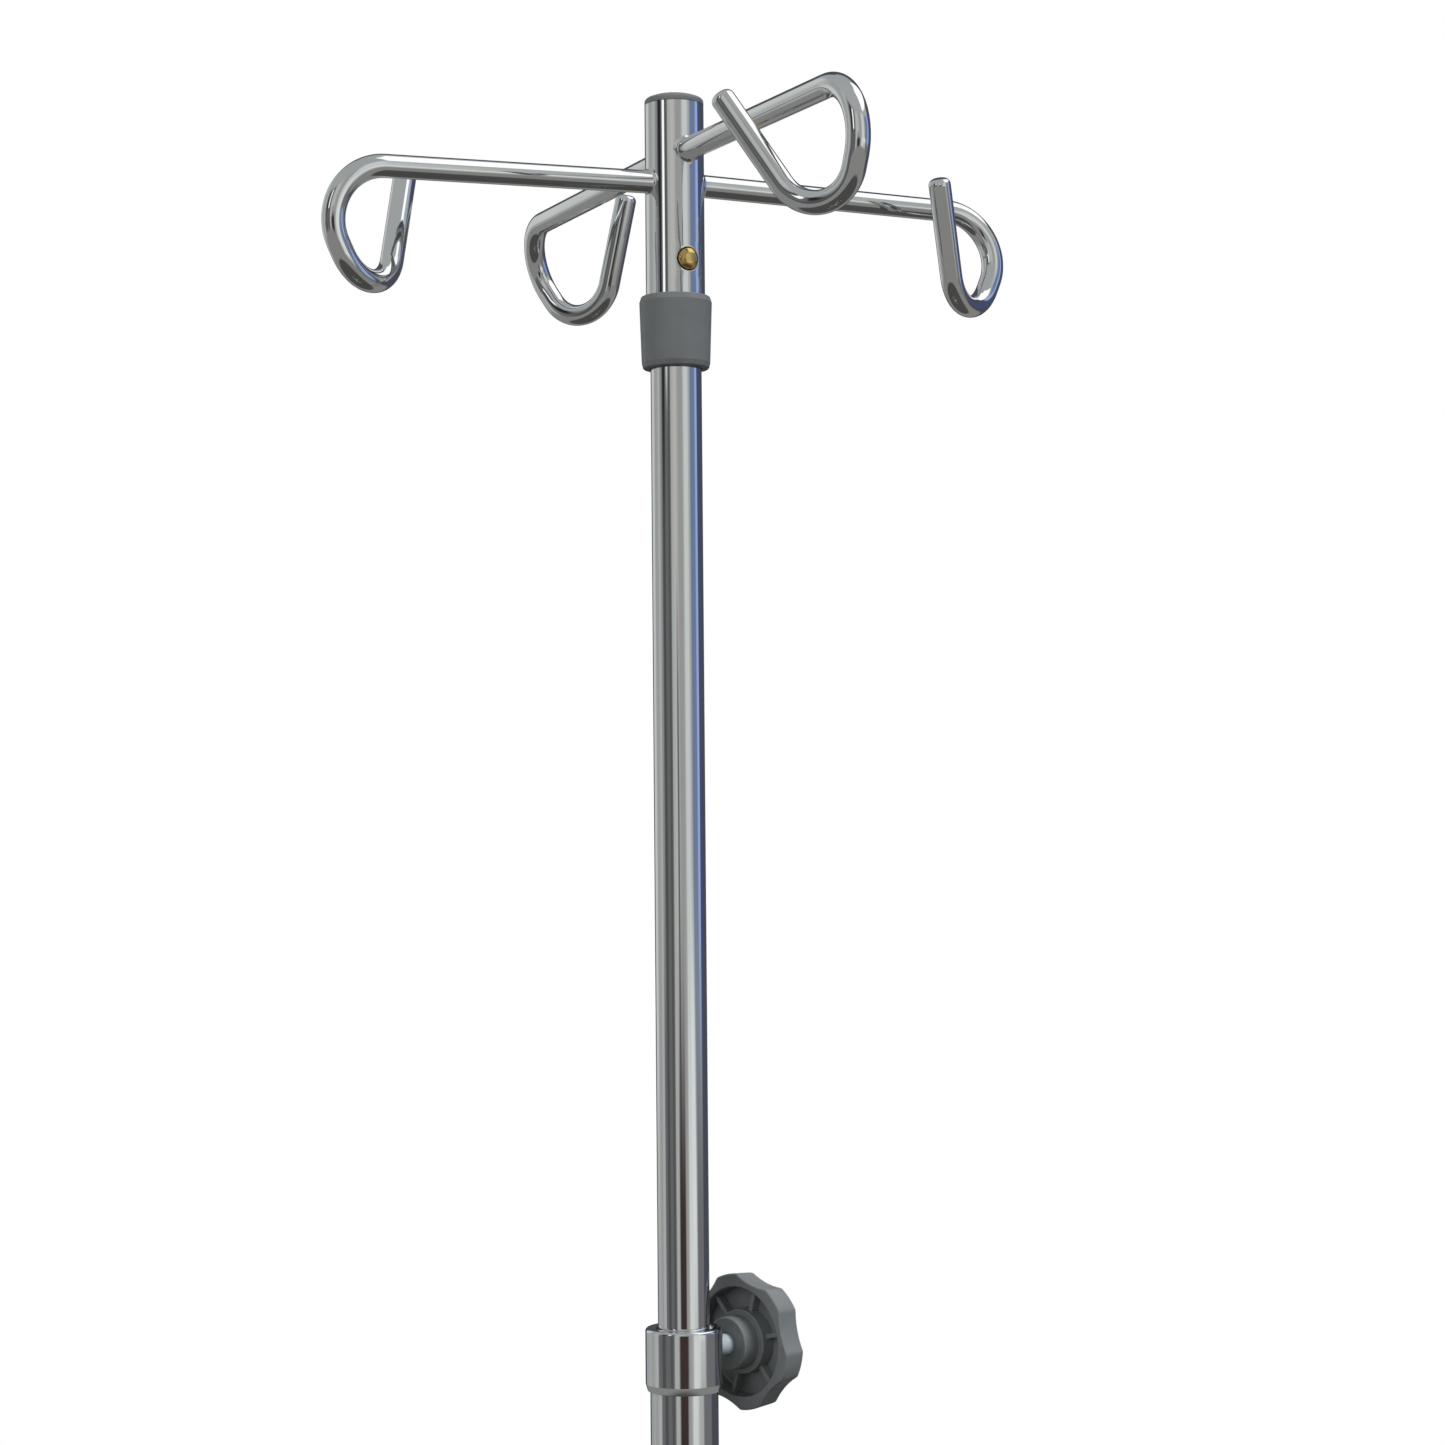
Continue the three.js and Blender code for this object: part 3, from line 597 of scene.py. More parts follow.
def make_hook(name, azimuth, rise, reach, tilt, roll):
    """A bent rod with a weld fillet on the head tube and a rounded free end."""
    weld, tip_round, sides = 1.1, 2.6, 40
    end_cap = SHORT_ROD_END if name == "back" else ROD_END
    place = shift(0, 0, ARM_HEIGHT + rise) @ rotation(azimuth, "Z")
    place = place @ rotation(-tilt, "Y") @ rotation(roll, "X")
    vertices, rings = [], []

    def ring(centre, along, square, radius, on_tube=None):
        side = along.cross(square)
        made = []
        for k in range(sides):
            angle = 2 * math.pi * k / sides
            spot = centre + (square * math.cos(angle) + side * math.sin(angle)) * radius
            if on_tube is not None:
                spot.x = math.sqrt(HEAD_RADIUS**2 - spot.y**2) + on_tube
            made.append(len(vertices))
            vertices.append(place @ spot)
        rings.append(made)

    stations = hook_stations(reach, HEAD_RADIUS + 3)
    _, along, square = stations[0]
    foot = Vector((0, 0, 0))
    ring(foot, along, square, ROD_RADIUS - 1, on_tube=-0.9)
    ring(foot, along, square, ROD_RADIUS + weld, on_tube=-0.35)
    for step in range(6):
        turn = math.radians(18 * step)
        radius = ROD_RADIUS + weld * (1 - math.sin(turn))
        ring(foot, along, square, radius, on_tube=weld * (1 - math.cos(turn)))
    for station in stations[:-1]:
        ring(*station, ROD_RADIUS)
    end, along, square = stations[-1]
    for step in range(8):
        turn = math.radians(90 * step / 7)
        centre = end + along * (end_cap - tip_round * (1 - math.sin(turn)))
        ring(centre, along, square, ROD_RADIUS - tip_round * (1 - math.cos(turn)))
    faces = []
    for a, b in zip(rings, rings[1:]):
        faces += bridge(a, b)
    faces += [list(reversed(rings[0])), rings[-1]]
    rod = piece(f"hook_{name}_rod", vertices, faces, smooth_angle=60)
    install(rod, "chrome_rod", f"hook_{name}", "mast")


# ---- telescopic pole


def make_pole():
    skin = tube_with_button_hole("inner_tube_skin", INNER_RADIUS, INNER_LOW.z, INNER_HIGH.z, patch=10)
    install(skin, "chrome_tube", "inner_tube", "mast")

    standing = turned(
        "outer_tube_skin",
        [
            (OUTER_RADIUS - WALL, OUTER_LOW.z, 0),
            (OUTER_RADIUS, OUTER_LOW.z, 0.3),
            (OUTER_RADIUS, OUTER_HIGH.z, 0.3),
            (OUTER_RADIUS - WALL, OUTER_HIGH.z, 0),
        ],
    )
    install(standing, "chrome_tube", "outer_tube", "stand")


def coupling_rows():
    """The turned collar: soft upper edge, and a lower edge that curls in to the standing tube."""
    top, bottom = COUPLING_HIGH.z, COUPLING_LOW.z
    shoulder = OUTER_HIGH.z + GAP
    wide, bore = OUTER_RADIUS + 0.1, INNER_RADIUS + 0.45
    rows = [
        (OUTER_RADIUS + 0.3, bottom, wide, bottom + 0.3),
        (OUTER_RADIUS + 0.8, bottom + 0.05, wide, bottom + 0.8),
        (OUTER_RADIUS + 1.0, bottom + 0.3, wide, bottom + 1.4),
        (COUPLING_RADIUS - 0.15, bottom + 2.3, wide, bottom + 2.6),
        (COUPLING_RADIUS - 0.03, bottom + 2.6, wide, bottom + 3.2),
        (COUPLING_RADIUS, bottom + 3.0, wide, bottom + 3.8),
        (COUPLING_RADIUS, shoulder - 1.4, wide, shoulder),
        (COUPLING_RADIUS, shoulder - 0.9, bore, shoulder),
    ]
    for height in (-5.6, -3.6, -1.8, 0, 1.8, 3.6, 5.2):
        level = CLAMP_HEIGHT + height
        rows.append((COUPLING_RADIUS, level, bore, max(level, shoulder + 0.1)))
    rounding = 1.2
    for step in range(7):
        turn = math.radians(15 * step)
        radius = COUPLING_RADIUS - rounding * (1 - math.cos(turn))
        height = top - rounding * (1 - math.sin(turn))
        rows.append((radius, height, bore + 0.1 * step, top - 1.5 + 0.2 * step))
    rows.append((bore + 1.3, top, bore + 0.9, top - 0.12))
    return rows


def make_coupling():
    rows, hole = coupling_rows(), STUD_RADIUS + GAP
    collar = pierced("coupling_collar", rows, CLAMP_HEIGHT, hole, CLAMP_AZIMUTH, patch=8, reach=1.35)
    install(collar, "chrome_collar", "coupling", "stand")


# ---- clamp knob


def make_stud():
    """M8 screw: rolled thread where it passes through the coupling, plain where it shows."""
    low, high, pitch, depth = 11.7, 34.0, 1.25, 0.62
    plain_from = 16.2
    tip_share, tip_length = 0.72, 1.2
    sides, rows_per_pitch = 36, 12
    rows = int((high - low) / pitch * rows_per_pitch)
    vertices, faces = [(0, 0, low)], []
    for i in range(rows + 1):
        height = low + (high - low) * i / rows
        taper = tip_share + (1 - tip_share) * min(1.0, (height - low) / tip_length)
        for k in range(sides):
            turn = (height / pitch + k / sides) % 1.0
            fading = min(1.0, max(0.0, (plain_from - height) / pitch))
            groove = depth * fading * abs(2 * turn - 1)
            radius = (STUD_RADIUS - groove) * taper
            angle = -2 * math.pi * k / sides
            vertices.append((radius * math.cos(angle), radius * math.sin(angle), height))
    vertices.append((0, 0, high))
    first, last = 1, 1 + rows * sides
    for k in range(sides):
        n = (k + 1) % sides
        faces.append([0, first + n, first + k])
        faces.append([len(vertices) - 1, last + k, last + n])
        for i in range(rows):
            a = 1 + i * sides
            faces.append([a + k, a + n, a + sides + n, a + sides + k])
    stud = piece("clamp_stud_thread", moved(vertices, ON_CLAMP), faces, smooth_angle=50)
    # The stud's zinc carries a painted glint: lighter, teal-tinted and only part metallic.
    install(stud, "screw_zinc_painted_glint", "clamp_stud", "knob")


def lobed_radius(angle):
    """The knob's outline: round lobes, and flutes that are arcs from outside it."""
    pitch = 360 / KNOB_LOBES
    half = math.radians(FLUTE_HALF_ANGLE)
    offset = math.radians((math.degrees(angle) - KNOB_PHASE + pitch / 2) % pitch - pitch / 2)
    centre = (KNOB_RADIUS**2 - FLUTE_FLOOR**2) / (2 * (KNOB_RADIUS * math.cos(half) - FLUTE_FLOOR))
    flute_radius = centre - FLUTE_FLOOR
    under_root = flute_radius**2 - (centre * math.sin(offset)) ** 2
    flute = centre * math.cos(offset) - math.sqrt(max(under_root, 0))
    if under_root <= 0:
        flute = KNOB_RADIUS + 3
    softness = 0.1
    deficit = math.exp((KNOB_RADIUS - flute) / softness)
    return KNOB_RADIUS - softness * math.log(1 + deficit)


def make_knob():
    """Lobed rim and back wall, with the hub and ribs joined in."""
    corners = [
        (0, KNOB_BACK, 0),
        (KNOB_BACK_RADIUS, KNOB_BACK, 0.8),
        (KNOB_RADIUS, RIM_FACE, 0.7),
        (CAVITY_RADIUS, RIM_FACE, 0.6),
        (CAVITY_RADIUS - 0.3, CAVITY_FLOOR, 0.8),
        (0, CAVITY_FLOOR, 0),
    ]
    outline = filleted(corners)
    round_within = 14

    def radius_at(i, angle):
        radius, height = outline[i]
        if radius < CAVITY_RADIUS + 0.8 and height < KNOB_BACK - 1:
            return radius
        share = min(1.0, max(0.0, (radius - round_within) / (KNOB_RADIUS - round_within)))
        return radius - share * (KNOB_RADIUS - lobed_radius(angle))

    vertices, faces = turned_mesh(outline, 216, radius_at)
    body = piece("knob_moulding", vertices, faces)
    step_face, root = 29.5, KNOB_BACK - 2
    hub = [
        (0, HUB_FACE, 0),
        (9.85, HUB_FACE, 0.6),
        (9.95, step_face, 0.25),
        (12, step_face, 0.4),
        (12.2, root, 0),
        (0, root, 0),
    ]
    parts = [turned("hub", hub, segments=72)]
    for rib in range(KNOB_LOBES):
        web = block(
            "rib",
            (8, -0.9, 31.5),
            (CAVITY_RADIUS + 2, 0.9, KNOB_BACK - 2.2),
            bevel=0.25,
            place=rotation(KNOB_PHASE + 360 / KNOB_LOBES * rib, "Z"),
        )
        parts.append(web)
    combine(body, parts, "UNION")
    combine(body, [bar("bore", STUD_RADIUS + 0.15, HUB_FACE - 1, 34.3)], "DIFFERENCE")
    body.data.transform(Matrix.Scale(MM, 4) @ ON_CLAMP @ Matrix.Scale(1 / MM, 4))
    # The knob gets the lighter copy of the grey plastic: painted light on its shaded face and hub.
    install(body, "knob_plastic_painted_light", "knob", "knob")


# ---- base


def leg_azimuth(number):
    return 90 + (number - 1) * 360 / LEGS


def make_hub():
    bore, socket = 5.6, OUTER_RADIUS + 0.15
    hub = turned(
        "base_hub_casting",
        [
            (bore, HUB_LOW.z, 0),
            (46, HUB_LOW.z, 0.8),
            (46, HUB_SHOULDER + 5, 3),
            (30, HUB_SHOULDER + 12, 12),
            (20, HUB_SHOULDER + 26, 20),
            (18.2, HUB_HIGH.z, 1.2),
            (socket, HUB_HIGH.z, 0.4),
            (socket, OUTER_LOW.z - GAP, 0),
            (bore, OUTER_LOW.z - GAP, 0),
        ],
        segments=120,
        steps=8,
    )
    half = LEG_ROOT_HALF_WIDTH + GAP
    low, high = (LEG_ROOT_RADIUS - GAP, -half, HUB_LOW.z - 1), (60, half, HUB_SHOULDER + GAP)
    turns = [rotation(leg_azimuth(number), "Z") for number in range(1, LEGS + 1)]
    combine(hub, [block("slot", low, high, place=turn) for turn in turns], "DIFFERENCE")
    install(hub, "grey_paint", "base_hub", "stand")


def leg_section(half_width, low, high):
    """One slice of a leg, across it: flat sides with draft and a crowned, rounded top."""
    draft = 1.2
    fillet = min(5.0, half_width * 0.8)
    corners = [
        (-half_width, low, 0.8),
        (half_width, low, 0.8),
        (half_width - draft, high - 0.6, fillet),
        (0, high, 20),
        (-half_width + draft, high - 0.6, fillet),
    ]
    return filleted(corners)


def along_leg(distance):
    """(half width, underside, top) of a leg at a distance from the pole's axis."""
    root_low, root_high, tip_low, tip_high = HUB_LOW.z, HUB_SHOULDER, LEG_LOW.z, 100.0
    bend, end = 52.0, STEM_CIRCLE - LEG_TIP_LENGTH
    share = min(1.0, max(0.0, (distance - bend) / (end - bend)))
    ease = share * share * (3 - 2 * share)
    blended = 0.7 * share + 0.3 * ease
    width_share = min(1.0, max(0.0, (distance - bend) / (STEM_CIRCLE - bend)))
    half = LEG_ROOT_HALF_WIDTH + (LEG_TIP_RADIUS - LEG_ROOT_HALF_WIDTH) * width_share
    if distance > STEM_CIRCLE:
        half = math.sqrt(max(LEG_TIP_RADIUS**2 - (distance - STEM_CIRCLE) ** 2, 0.05))
    return half, root_low + (tip_low - root_low) * blended, root_high + (tip_high - root_high) * blended


def make_leg(number):
    """A tapered casting, hollow from below, with a round end over the castor."""
    distances = [LEG_ROOT_RADIUS, 46, 50, 56, 64, 74, 86, 100, 120, 140, 160, 180, 200, 215]
    distances += [STEM_CIRCLE - ahead for ahead in (LEG_TIP_LENGTH, 20, 10, 0)]
    distances += [STEM_CIRCLE + LEG_TIP_RADIUS * math.sin(math.radians(9 * k)) for k in range(1, 11)]
    sections = [leg_section(*along_leg(distance)) for distance in distances]
    count = len(sections[0])
    vertices = [(x, y, z) for x, section in zip(distances, sections) for y, z in section]
    faces = []
    for i in range(len(distances) - 1):
        for k in range(count):
            a, b = i * count + k, i * count + (k + 1) % count
            faces.append([a, b, b + count, a + count])
    faces += [list(range(count))[::-1], list(range(len(vertices) - count, len(vertices)))]
    leg = piece("leg", vertices, faces)
    wall, ceiling, below = 4, 5, 9
    pocket_vertices = []
    for distance in (60, STEM_CIRCLE - 26):
        half, low, high = along_leg(distance)
        half -= wall
        pocket_vertices += [(distance, -half, low - below), (distance, half, low - below)]
        pocket_vertices += [(distance, half - 1, high - ceiling), (distance, -half + 1, high - ceiling)]
    sides = [[k, (k + 1) % 4, 4 + (k + 1) % 4, 4 + k] for k in range(4)]
    pocket = piece("pocket", pocket_vertices, [[3, 2, 1, 0], [4, 5, 6, 7]] + sides)
    bore = bar("bore", 5.7, 70, 97, place=shift(STEM_CIRCLE, 0, 0))
    combine(leg, [pocket, bore], "DIFFERENCE")
    leg.name = f"leg_{number}_casting"
    leg.data.transform(rotation(leg_azimuth(number), "Z"))
    install(leg, "grey_paint", f"leg_{number}", "stand")


def make_base_fixings():
    low, high = box_mm("base_plate")
    bore, recess_radius, rim = 5.6, 13.5, 45
    recess = low.z + 0.6
    plate = turned(
        "base_plate_disc",
        [
            (bore, recess, 0.1),
            (recess_radius, recess, 0.1),
            (recess_radius, low.z, 0.3),
            (rim, low.z, 0.8),
            (rim, high.z, 0.8),
            (bore, high.z, 0.3),
        ],
    )
    install(plate, "zinc", "base_plate", "stand")
    low, high = box_mm("retaining_washer")
    washer = turned(
        "retaining_washer_disc",
        [(5.2, low.z, 0.2), (12, low.z, 0.4), (12, high.z, 0.4), (5.2, high.z, 0.2)],
        segments=64,
    )
    install(washer, "zinc", "retaining_washer", "stand")

    low, high = box_mm("retaining_bolt")
    head_top = low.z + 6.4
    corner = 17 / math.sqrt(3)
    turns = [math.radians(60 * k) for k in range(6)]
    hexagon = [(corner * math.cos(turn), corner * math.sin(turn)) for turn in turns]
    head = prism("retaining_bolt_m10", hexagon, low.z, head_top, bevel=0.5)
    root = head_top - 2
    shank = turned("shank", [(0, root, 0), (5, root, 0), (5, high.z, 0.8), (0, high.z, 0)], 48)
    combine(head, [shank], "UNION")
    install(head, "zinc", "retaining_bolt", "stand")


# ---- castors


def castor_place(number):
    turn = math.radians(leg_azimuth(number))
    return shift(STEM_CIRCLE * math.cos(turn), STEM_CIRCLE * math.sin(turn), 0)


def on_axle(number):
    """Maps a piece made round Z onto a castor's axle."""
    return castor_place(number) @ shift(0, -TRAIL, WHEEL_RADIUS) @ rotation(90, "Y")


def upright(number):
    """Maps an outline drawn in (distance back, height) to stand along -Y, pushed along X."""
    return castor_place(number) @ Matrix(((0, 0, 1, 0), (-1, 0, 0, 0), (0, 1, 0, 0), (0, 0, 0, 1)))


def brake_pivot(number):
    """Maps a piece made round Z onto a brake pedal's pin."""
    return castor_place(number) @ shift(0, -BRAKE_BACK, BRAKE_HEIGHT) @ rotation(90, "Y")


def make_castor_stem(number):
    low, high = STEM_LOW.z, STEM_HIGH.z
    stem = turned(
        f"castor_stem_{number}_turned",
        [
            (0, low, 0),
            (8, low, 1.6),
            (8, 66.2, 0.5),
            (5.1, 66.2, 0),
            (5.1, 75.8, 0),
            (9.5, 75.8, 0.4),
            (9.5, 78.7, 0.6),
            (5.5, 78.7, 0),
            (5.5, high, 1.2),
            (0, high, 0),
        ],
        segments=64,
        place=castor_place(number),
    )
    install(stem, "zinc", f"castor_stem_{number}", "stand")


def make_fork(number):
    """Pressed fork: crown and swivel cup over two cheeks that run back to the axle."""
    crown_low, crown_high = 66.5, 69.5
    inner, outer = 13.2, 15.7
    end = 9.0
    cheek = [(-10, crown_low - 3), (TRAIL - end * 0.9, WHEEL_RADIUS - end * 0.45)]
    for step in range(13):
        turn = math.radians(205 + 170 * step / 12)
        cheek.append((TRAIL + end * math.cos(turn), WHEEL_RADIUS + end * math.sin(turn)))
    cheek += [(24, crown_high - 0.5), (-10, crown_high - 0.5)]
    turns = [math.radians(6 * k) for k in range(31)]
    crown = [(outer * math.cos(turn), outer * math.sin(turn)) for turn in turns]
    crown += [(-outer, -24), (outer, -24)]
    body = prism("fork", crown, crown_low, crown_high, castor_place(number), bevel=0.7)
    parts = []
    for low in (-outer, inner):
        parts.append(prism("cheek", cheek, low, low + outer - inner, upright(number), bevel=0.6))
    cup_low, cup_high = crown_high - 1.5, 75.5
    cup = [(2, cup_low, 0), (15, cup_low, 0), (13.6, cup_high, 2.2), (2, cup_high, 0)]
    parts.append(turned("cup", cup, segments=72, place=castor_place(number)))
    cuts = [bar("hole", 5.3, 60, 80, place=castor_place(number))]
    cuts.append(bar("hole", 4.05, -HOLE_REACH, HOLE_REACH, place=on_axle(number)))
    if number in BRAKED:
        lug_low, lug_high = 68, 77.5
        lug = filleted([(16, lug_low, 0), (24, lug_low, 0), (24, lug_high, 3.9), (16, lug_high, 3.9)], 6)
        for low in (-15.2, 12.5):
            parts.append(prism("lug", lug, low, low + 2.7, upright(number), bevel=0.3))
        cuts.append(bar("hole", 2.05, -HOLE_REACH, HOLE_REACH, 32, brake_pivot(number)))
    combine(body, parts, "UNION")
    combine(body, cuts, "DIFFERENCE")
    body.name = f"castor_fork_{number}_pressing"
    install(body, "zinc", f"castor_fork_{number}", f"fork_{number}")


def make_axle(number):
    end, head = 16.0, 6.4
    lower = [(0, -end - 3, 0), (head, -end - 3, 2.2), (head, -end, 0.2), (4, -end, 0)]
    axle = turned(f"castor_axle_{number}_rivet", mirrored(lower), 48, on_axle(number))
    install(axle, "zinc", f"castor_axle_{number}", f"fork_{number}")


def make_wheel(number):
    bore, boss, rim, core = 4.12, 9, 20, 24
    boss_half, web_half, rim_half = 12, 2.5, 9
    lower = [
        (bore, -boss_half, 0.3),
        (boss, -boss_half, 0.8),
        (boss + 0.6, -web_half, 1.5),
        (rim - 0.6, -web_half, 1.5),
        (rim, -rim_half, 0.5),
        (core, -rim_half, 0.3),
    ]
    wheel = turned(f"castor_wheel_{number}_core", mirrored(lower), place=on_axle(number))
    install(wheel, "wheel_plastic", f"castor_wheel_{number}", f"wheel_{number}")
    lower = [(core + 0.05, -10.4, 0.4), (WHEEL_RADIUS - 2.2, -11, 1.5), (WHEEL_RADIUS, -7.5, 4)]
    tyre = turned(f"castor_tyre_{number}_tread", mirrored(lower), 128, on_axle(number), steps=7)
    install(tyre, "grey_rubber", f"castor_tyre_{number}", f"wheel_{number}")


def make_brake(number):
    """Foot pedal with grip ridges on its tread and a shoe that meets the tyre."""
    corners = [  # measured from the pin
        (-4, -3, 2.5),
        (6, -3, 1),
        (21, -3.5, 1),
        (24, -8.3, 0.8),
        (32, -10.45, 0.8),
        (34, -3.5, 1),
        (46, 0.5, 0.6),
        (46, 4, 1.2),
        (33, 0.5, 3),
        (12, 1.5, 4),
        (4, 4, 2),
        (-2, 4, 1.5),
        (-4, 2, 1.5),
    ]
    profile = filleted([(BRAKE_BACK + x, BRAKE_HEIGHT + y, fillet) for x, y, fillet in corners], 4)
    pedal = prism(f"brake_pedal_{number}_moulding", profile, -12, 12, upright(number), bevel=0.8)
    ridges = []
    for k in range(4):
        start = BRAKE_BACK + 35.5 + 2.6 * k
        level = BRAKE_HEIGHT + 1.0 + 0.7 * k
        end, root = start + 1.2, level - 1
        ridge = [(start, root, 0), (end, root, 0), (end, level + 1.0, 0.3), (start, level + 0.7, 0.3)]
        ridges.append(prism("ridge", filleted(ridge, 3), -10.5, 10.5, upright(number)))
    combine(pedal, ridges, "UNION")
    pivot = brake_pivot(number)
    combine(pedal, [bar("hole", 2.08, -HOLE_REACH, HOLE_REACH, 32, pivot)], "DIFFERENCE")
    install(pedal, "wheel_plastic", f"brake_pedal_{number}", f"brake_{number}")
    pin = turned(f"brake_pin_{number}_rod", mirrored([(0, -16.5, 0), (2, -16.5, 0.4)]), 32, pivot)
    install(pin, "zinc", f"brake_pin_{number}", f"fork_{number}")


# ---- hidden CAD pieces

KEPT_NODES = {
    "button_spring": "spring_steel",
    "inner_tube_glide": "nylon",
    "guide_bush": "nylon",
    "thrust_pad": "brass",
    "tube_plug": "zinc",
}


def dress_kept_nodes():
    for node, finish in KEPT_NODES.items():
        dress(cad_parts[node], finish)


# ---- surround

CAMERA_TURN = 27.9
CAMERA_SIDE = 0.0161
CAMERA_DISTANCE = 1.107
CAMERA_DROP = 0.244
CAMERA_PITCH = 2.22
CAMERA_ROLL = -0.5
FOCAL_LENGTH = 74.6

# The studio that the chrome mirrors, as grey walls with flags, windows and panels before them.
# Each panel is (azimuth span, elevation span, tone, width of its soft edge). Angles are in degrees:
# azimuth from the camera's direction, positive to its right, and elevation. A tone is what the
# mirror image shows on screen. Later panels cover earlier ones.
ROOM = (0.64, 0.65, 0.64)
ALL_ROUND = (-180, 180)
ANY_HEIGHT = (-90, 90)
PANELS = (
    ((-150, -122), (-7, 40), (0.73, 0.74, 0.73), 8),  # left wall
    ((-150, -122), (-60, -7), (0.58, 0.59, 0.59), 8),  # left wall's foot
    ((-117, -96), ANY_HEIGHT, (0.58, 0.59, 0.58), 8),  # left corner
    ((-81, -66), (-2, 40), (0.52, 0.53, 0.53), 5),  # flag's upper shade
    ((-81, -66), (-60, -2), (0.38, 0.39, 0.39), 5),  # flag's lower shade
    ((-71, -27), ANY_HEIGHT, (0.38, 0.38, 0.38), 4),  # left flag
    ((-67, -55), ANY_HEIGHT, (0.29, 0.30, 0.31), 4),  # flag's edge
    ((-66, -54), (7, 40), (0.15, 0.15, 0.16), 4),  # flag's upper edge
    ((-40, -32), ANY_HEIGHT, (0.31, 0.31, 0.31), 5),  # flag's fold
    ((-48, -39), (9, 32), (0.97, 0.98, 0.98), 2),  # lamp strip
    ((-16, -1), (-5, 30), (0.69, 0.69, 0.67), 8),  # front wall
    ((4, 26), ANY_HEIGHT, (0.58, 0.58, 0.57), 8),  # front door
    ((31, 52), ANY_HEIGHT, (0.75, 0.77, 0.76), 7),  # curtain
    ((31, 46), (-24, -3), (0.79, 0.80, 0.79), 5),  # curtain's foot
    ((46, 66), (-9, -2), (0.82, 0.84, 0.83), 4),  # curtain's hem
    ((62, 91), (-4, 28), (0.41, 0.47, 0.59), 9),  # window frame
    ((91, 112), (-4, 28), (0.57, 0.65, 0.83), 8),  # window
    ((70, 112), (-60, -4), (0.41, 0.41, 0.42), 7),  # window sill
    ((-7, 0), (-60, 4), (0.36, 0.36, 0.37), 4),  # camera mast
    ((-12, 15), (-60, -4), (0.23, 0.18, 0.18), 7),  # camera stand
    (ALL_ROUND, (34, 90), (0.60, 0.61, 0.61), 8),  # ceiling
    ((106, 212), (-30, 57), (0.27, 0.28, 0.31), 5),  # backdrop
    ((104, 124), (-4, 28), (0.26, 0.29, 0.42), 5),  # window's far edge
    ((54, 140), (37, 74), (1.0, 1.0, 1.0), 5),  # ceiling lamp
    (ALL_ROUND, (-90, -17), (0.49, 0.49, 0.48), 6),  # floor
    (ALL_ROUND, (-90, -44), (0.27, 0.27, 0.26), 6),  # rug
)
CHROME_REFLECTANCE = 0.8
SHARE_ON_MATT = 0.85  # how much of the studio's light falls on matt surfaces
WHITE = (1, 1, 1, 1)

FLOOR_HALF = 30000
FLOOR_DROP = 0.0003
FADE_START, FADE_END = 0.7, 3.0  # metres from the pole


def linear(tone):
    """The light that chrome reflects as the display tone, by the sRGB curve."""
    return tuple(((c + 0.055) / 1.055) ** 2.4 / CHROME_REFLECTANCE for c in tone)


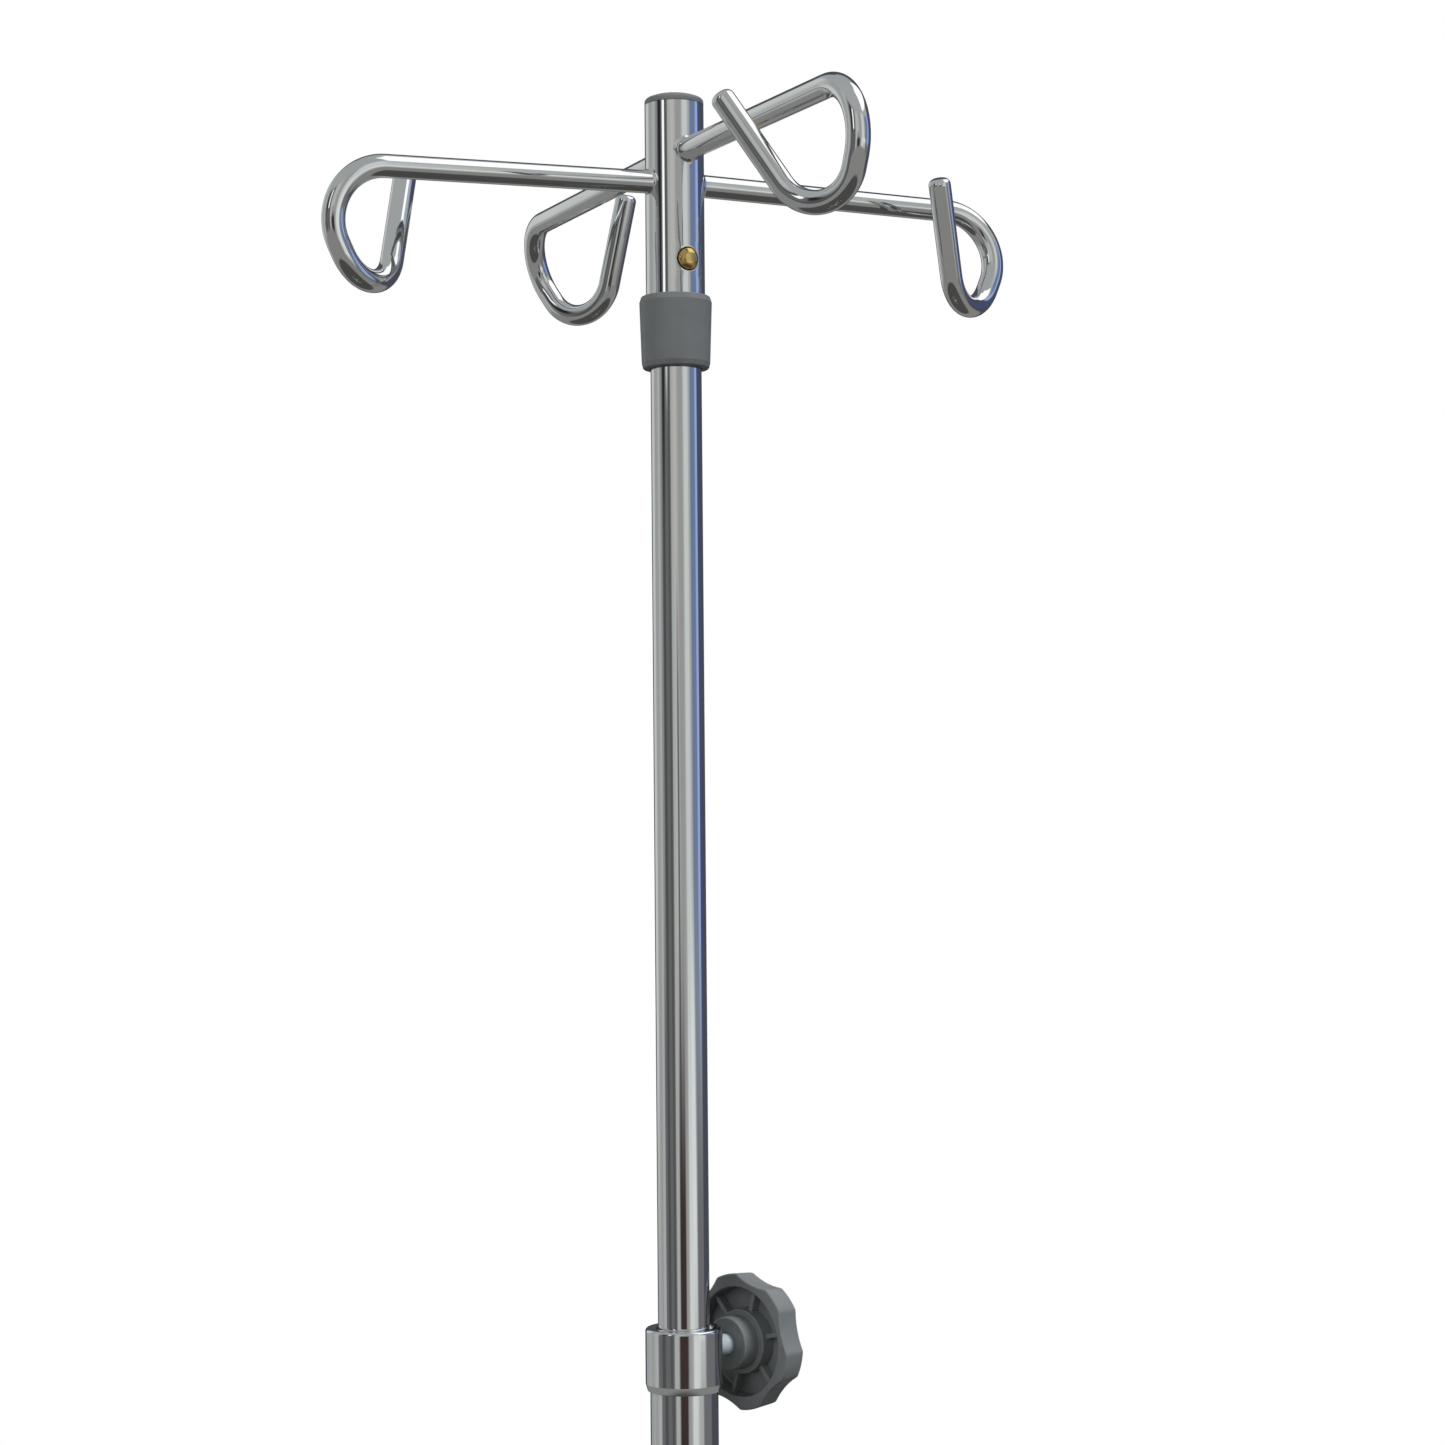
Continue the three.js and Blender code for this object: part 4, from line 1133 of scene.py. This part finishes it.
class Surround:
    """The world's shader: banded tones for reflections, plain white for the camera."""

    def __init__(self):
        world = bpy.data.worlds.new("studio")
        bpy.context.scene.world = world
        world.use_nodes = True
        self.nodes, self.links = world.node_tree.nodes, world.node_tree.links
        self.nodes.clear()

    def math(self, operation, *values):
        node = add_node(self.nodes, "Math", operation=operation)
        for socket, value in zip(node.inputs, values):
            if isinstance(value, (int, float)):
                socket.default_value = value
            else:
                self.links.new(value, socket)
        return node.outputs["Value"]

    def inside(self, value, span, soft):
        """1 where the value, measured from the span's middle, is inside it, with soft edges."""
        half = (span[1] - span[0]) / 2
        edges = {"From Min": half - soft / 2, "From Max": half + soft / 2, "To Min": 1, "To Max": 0}
        node = add_node(self.nodes, "MapRange", edges, interpolation_type="SMOOTHSTEP")
        self.links.new(self.math("ABSOLUTE", value), node.inputs["Value"])
        return node.outputs["Result"]

    def panel(self, azimuth, elevation, across, upward, soft):
        """The share of a panel in the direction of view."""
        shares = []
        if across != ALL_ROUND:
            away = self.math("SUBTRACT", azimuth, sum(across) / 2)
            shares.append(self.inside(self.math("WRAP", away, 180.0, -180.0), across, soft))
        if upward != ANY_HEIGHT:
            # A panel that reaches the top or bottom goes on past it, to have no soft edge there.
            upward = tuple(2 * end if abs(end) == 90 else end for end in upward)
            away = self.math("SUBTRACT", elevation, sum(upward) / 2)
            shares.append(self.inside(away, upward, soft))
        return shares[0] if len(shares) == 1 else self.math("MULTIPLY", *shares)

    def mix(self, share, a, b):
        node = add_node(self.nodes, "Mix", data_type="RGBA")
        self.links.new(share, node.inputs["Factor"])
        for key, value in (("A", a), ("B", b)):
            socket = next(s for s in node.inputs if s.name == key and s.type == "RGBA")
            if isinstance(value, tuple):
                socket.default_value = (*value, 1)
            else:
                self.links.new(value, socket)
        return next(s for s in node.outputs if s.type == "RGBA")

    def build(self):
        place = add_node(self.nodes, "TexCoord")
        angle = {"Angle": math.radians(CAMERA_TURN)}
        turn = add_node(self.nodes, "VectorRotate", angle, rotation_type="Z_AXIS")
        self.links.new(place.outputs["Generated"], turn.inputs["Vector"])
        parts = add_node(self.nodes, "SeparateXYZ")
        self.links.new(turn.outputs["Vector"], parts.inputs["Vector"])
        x, y, z = (parts.outputs[k] for k in "XYZ")
        azimuth = self.math("DEGREES", self.math("ARCTAN2", x, self.math("MULTIPLY", y, -1.0)))
        elevation = self.math("DEGREES", self.math("ARCSINE", z))
        tone = linear(ROOM)
        for across, upward, panel_tone, soft in PANELS:
            share = self.panel(azimuth, elevation, across, upward, soft)
            tone = self.mix(share, tone, linear(panel_tone))

        seen = add_node(self.nodes, "Background")
        self.links.new(tone, seen.inputs["Color"])
        plain = add_node(self.nodes, "Background", {"Color": WHITE})
        path = add_node(self.nodes, "LightPath")
        dimming = self.math("MULTIPLY", path.outputs["Is Diffuse Ray"], 1 - SHARE_ON_MATT)
        self.links.new(self.math("SUBTRACT", 1.0, dimming), seen.inputs["Strength"])
        choose = add_node(self.nodes, "MixShader")
        self.links.new(path.outputs["Is Camera Ray"], choose.inputs["Fac"])
        self.links.new(seen.outputs["Background"], choose.inputs[1])
        self.links.new(plain.outputs["Background"], choose.inputs[2])
        output = add_node(self.nodes, "OutputWorld")
        self.links.new(choose.outputs["Shader"], output.inputs["Surface"])


def make_floor():
    """Pale floor that fades to the white backdrop well away from the object."""
    half = FLOOR_HALF
    corners = [(-half, -half), (half, -half), (half, half), (-half, half)]
    floor = piece("floor", [(x, y, 0) for x, y in corners], [[0, 1, 2, 3]])
    floor.location.z = -FLOOR_DROP
    material = bpy.data.materials.new("floor")
    material.use_nodes = True
    nodes, links = material.node_tree.nodes, material.node_tree.links
    shader = nodes["Principled BSDF"]
    shader.inputs["Base Color"].default_value = (0.86, 0.86, 0.86, 1)
    shader.inputs["Roughness"].default_value = 0.6
    backdrop = add_node(nodes, "Emission", {"Color": WHITE})
    place = add_node(nodes, "TexCoord")
    distance = add_node(nodes, "VectorMath", operation="LENGTH")
    span = {"From Min": FADE_START, "From Max": FADE_END}
    fade = add_node(nodes, "MapRange", span, interpolation_type="SMOOTHSTEP")
    blend = add_node(nodes, "MixShader")
    links.new(place.outputs["Object"], distance.inputs[0])
    links.new(distance.outputs["Value"], fade.inputs["Value"])
    links.new(fade.outputs["Result"], blend.inputs["Fac"])
    links.new(shader.outputs["BSDF"], blend.inputs[1])
    links.new(backdrop.outputs["Emission"], blend.inputs[2])
    links.new(blend.outputs["Shader"], nodes["Material Output"].inputs["Surface"])
    floor.data.materials.append(material)
    floor.visible_glossy = False
    floor.visible_diffuse = False


def make_light(name, azimuth, elevation, strength, softness):
    """A soft distant light. The chrome mirrors the surround, not the light."""
    data = bpy.data.lights.new(name, "SUN")
    data.energy = strength
    data.angle = math.radians(softness)
    light = bpy.data.objects.new(name, data)
    light.matrix_world = rotation(azimuth - CAMERA_TURN, "Z") @ rotation(90 - elevation, "X")
    light.visible_glossy = False
    bpy.context.scene.collection.objects.link(light)


def make_camera():
    data = bpy.data.cameras.new("camera")
    data.lens = FOCAL_LENGTH
    data.sensor_width = 36
    camera = bpy.data.objects.new("camera", data)
    bpy.context.scene.collection.objects.link(camera)
    spot = shift(CAMERA_SIDE, -CAMERA_DISTANCE, ARM_HEIGHT * MM - CAMERA_DROP)
    aim = rotation(90 + CAMERA_PITCH, "X") @ rotation(CAMERA_ROLL, "Z")
    camera.matrix_world = rotation(-CAMERA_TURN, "Z") @ spot @ aim
    bpy.context.scene.camera = camera


# ---- the scene

make_camera()
make_head()
make_button()
for hook in HOOKS:
    make_hook(*hook)
make_pole()
make_coupling()
make_stud()
make_knob()
make_hub()
make_base_fixings()
for leg in range(1, LEGS + 1):
    make_leg(leg)
    make_castor_stem(leg)
    make_fork(leg)
    make_axle(leg)
    make_wheel(leg)
for leg in BRAKED:
    make_brake(leg)
dress_kept_nodes()

Surround().build()
make_floor()
make_light("key", 66, 52, 2.9, 16)
make_light("fill", -32, 15, 1.65, 60)
make_light("rim", 165, 40, 1.0, 40)
bpy.context.scene.view_settings.view_transform = "Standard"
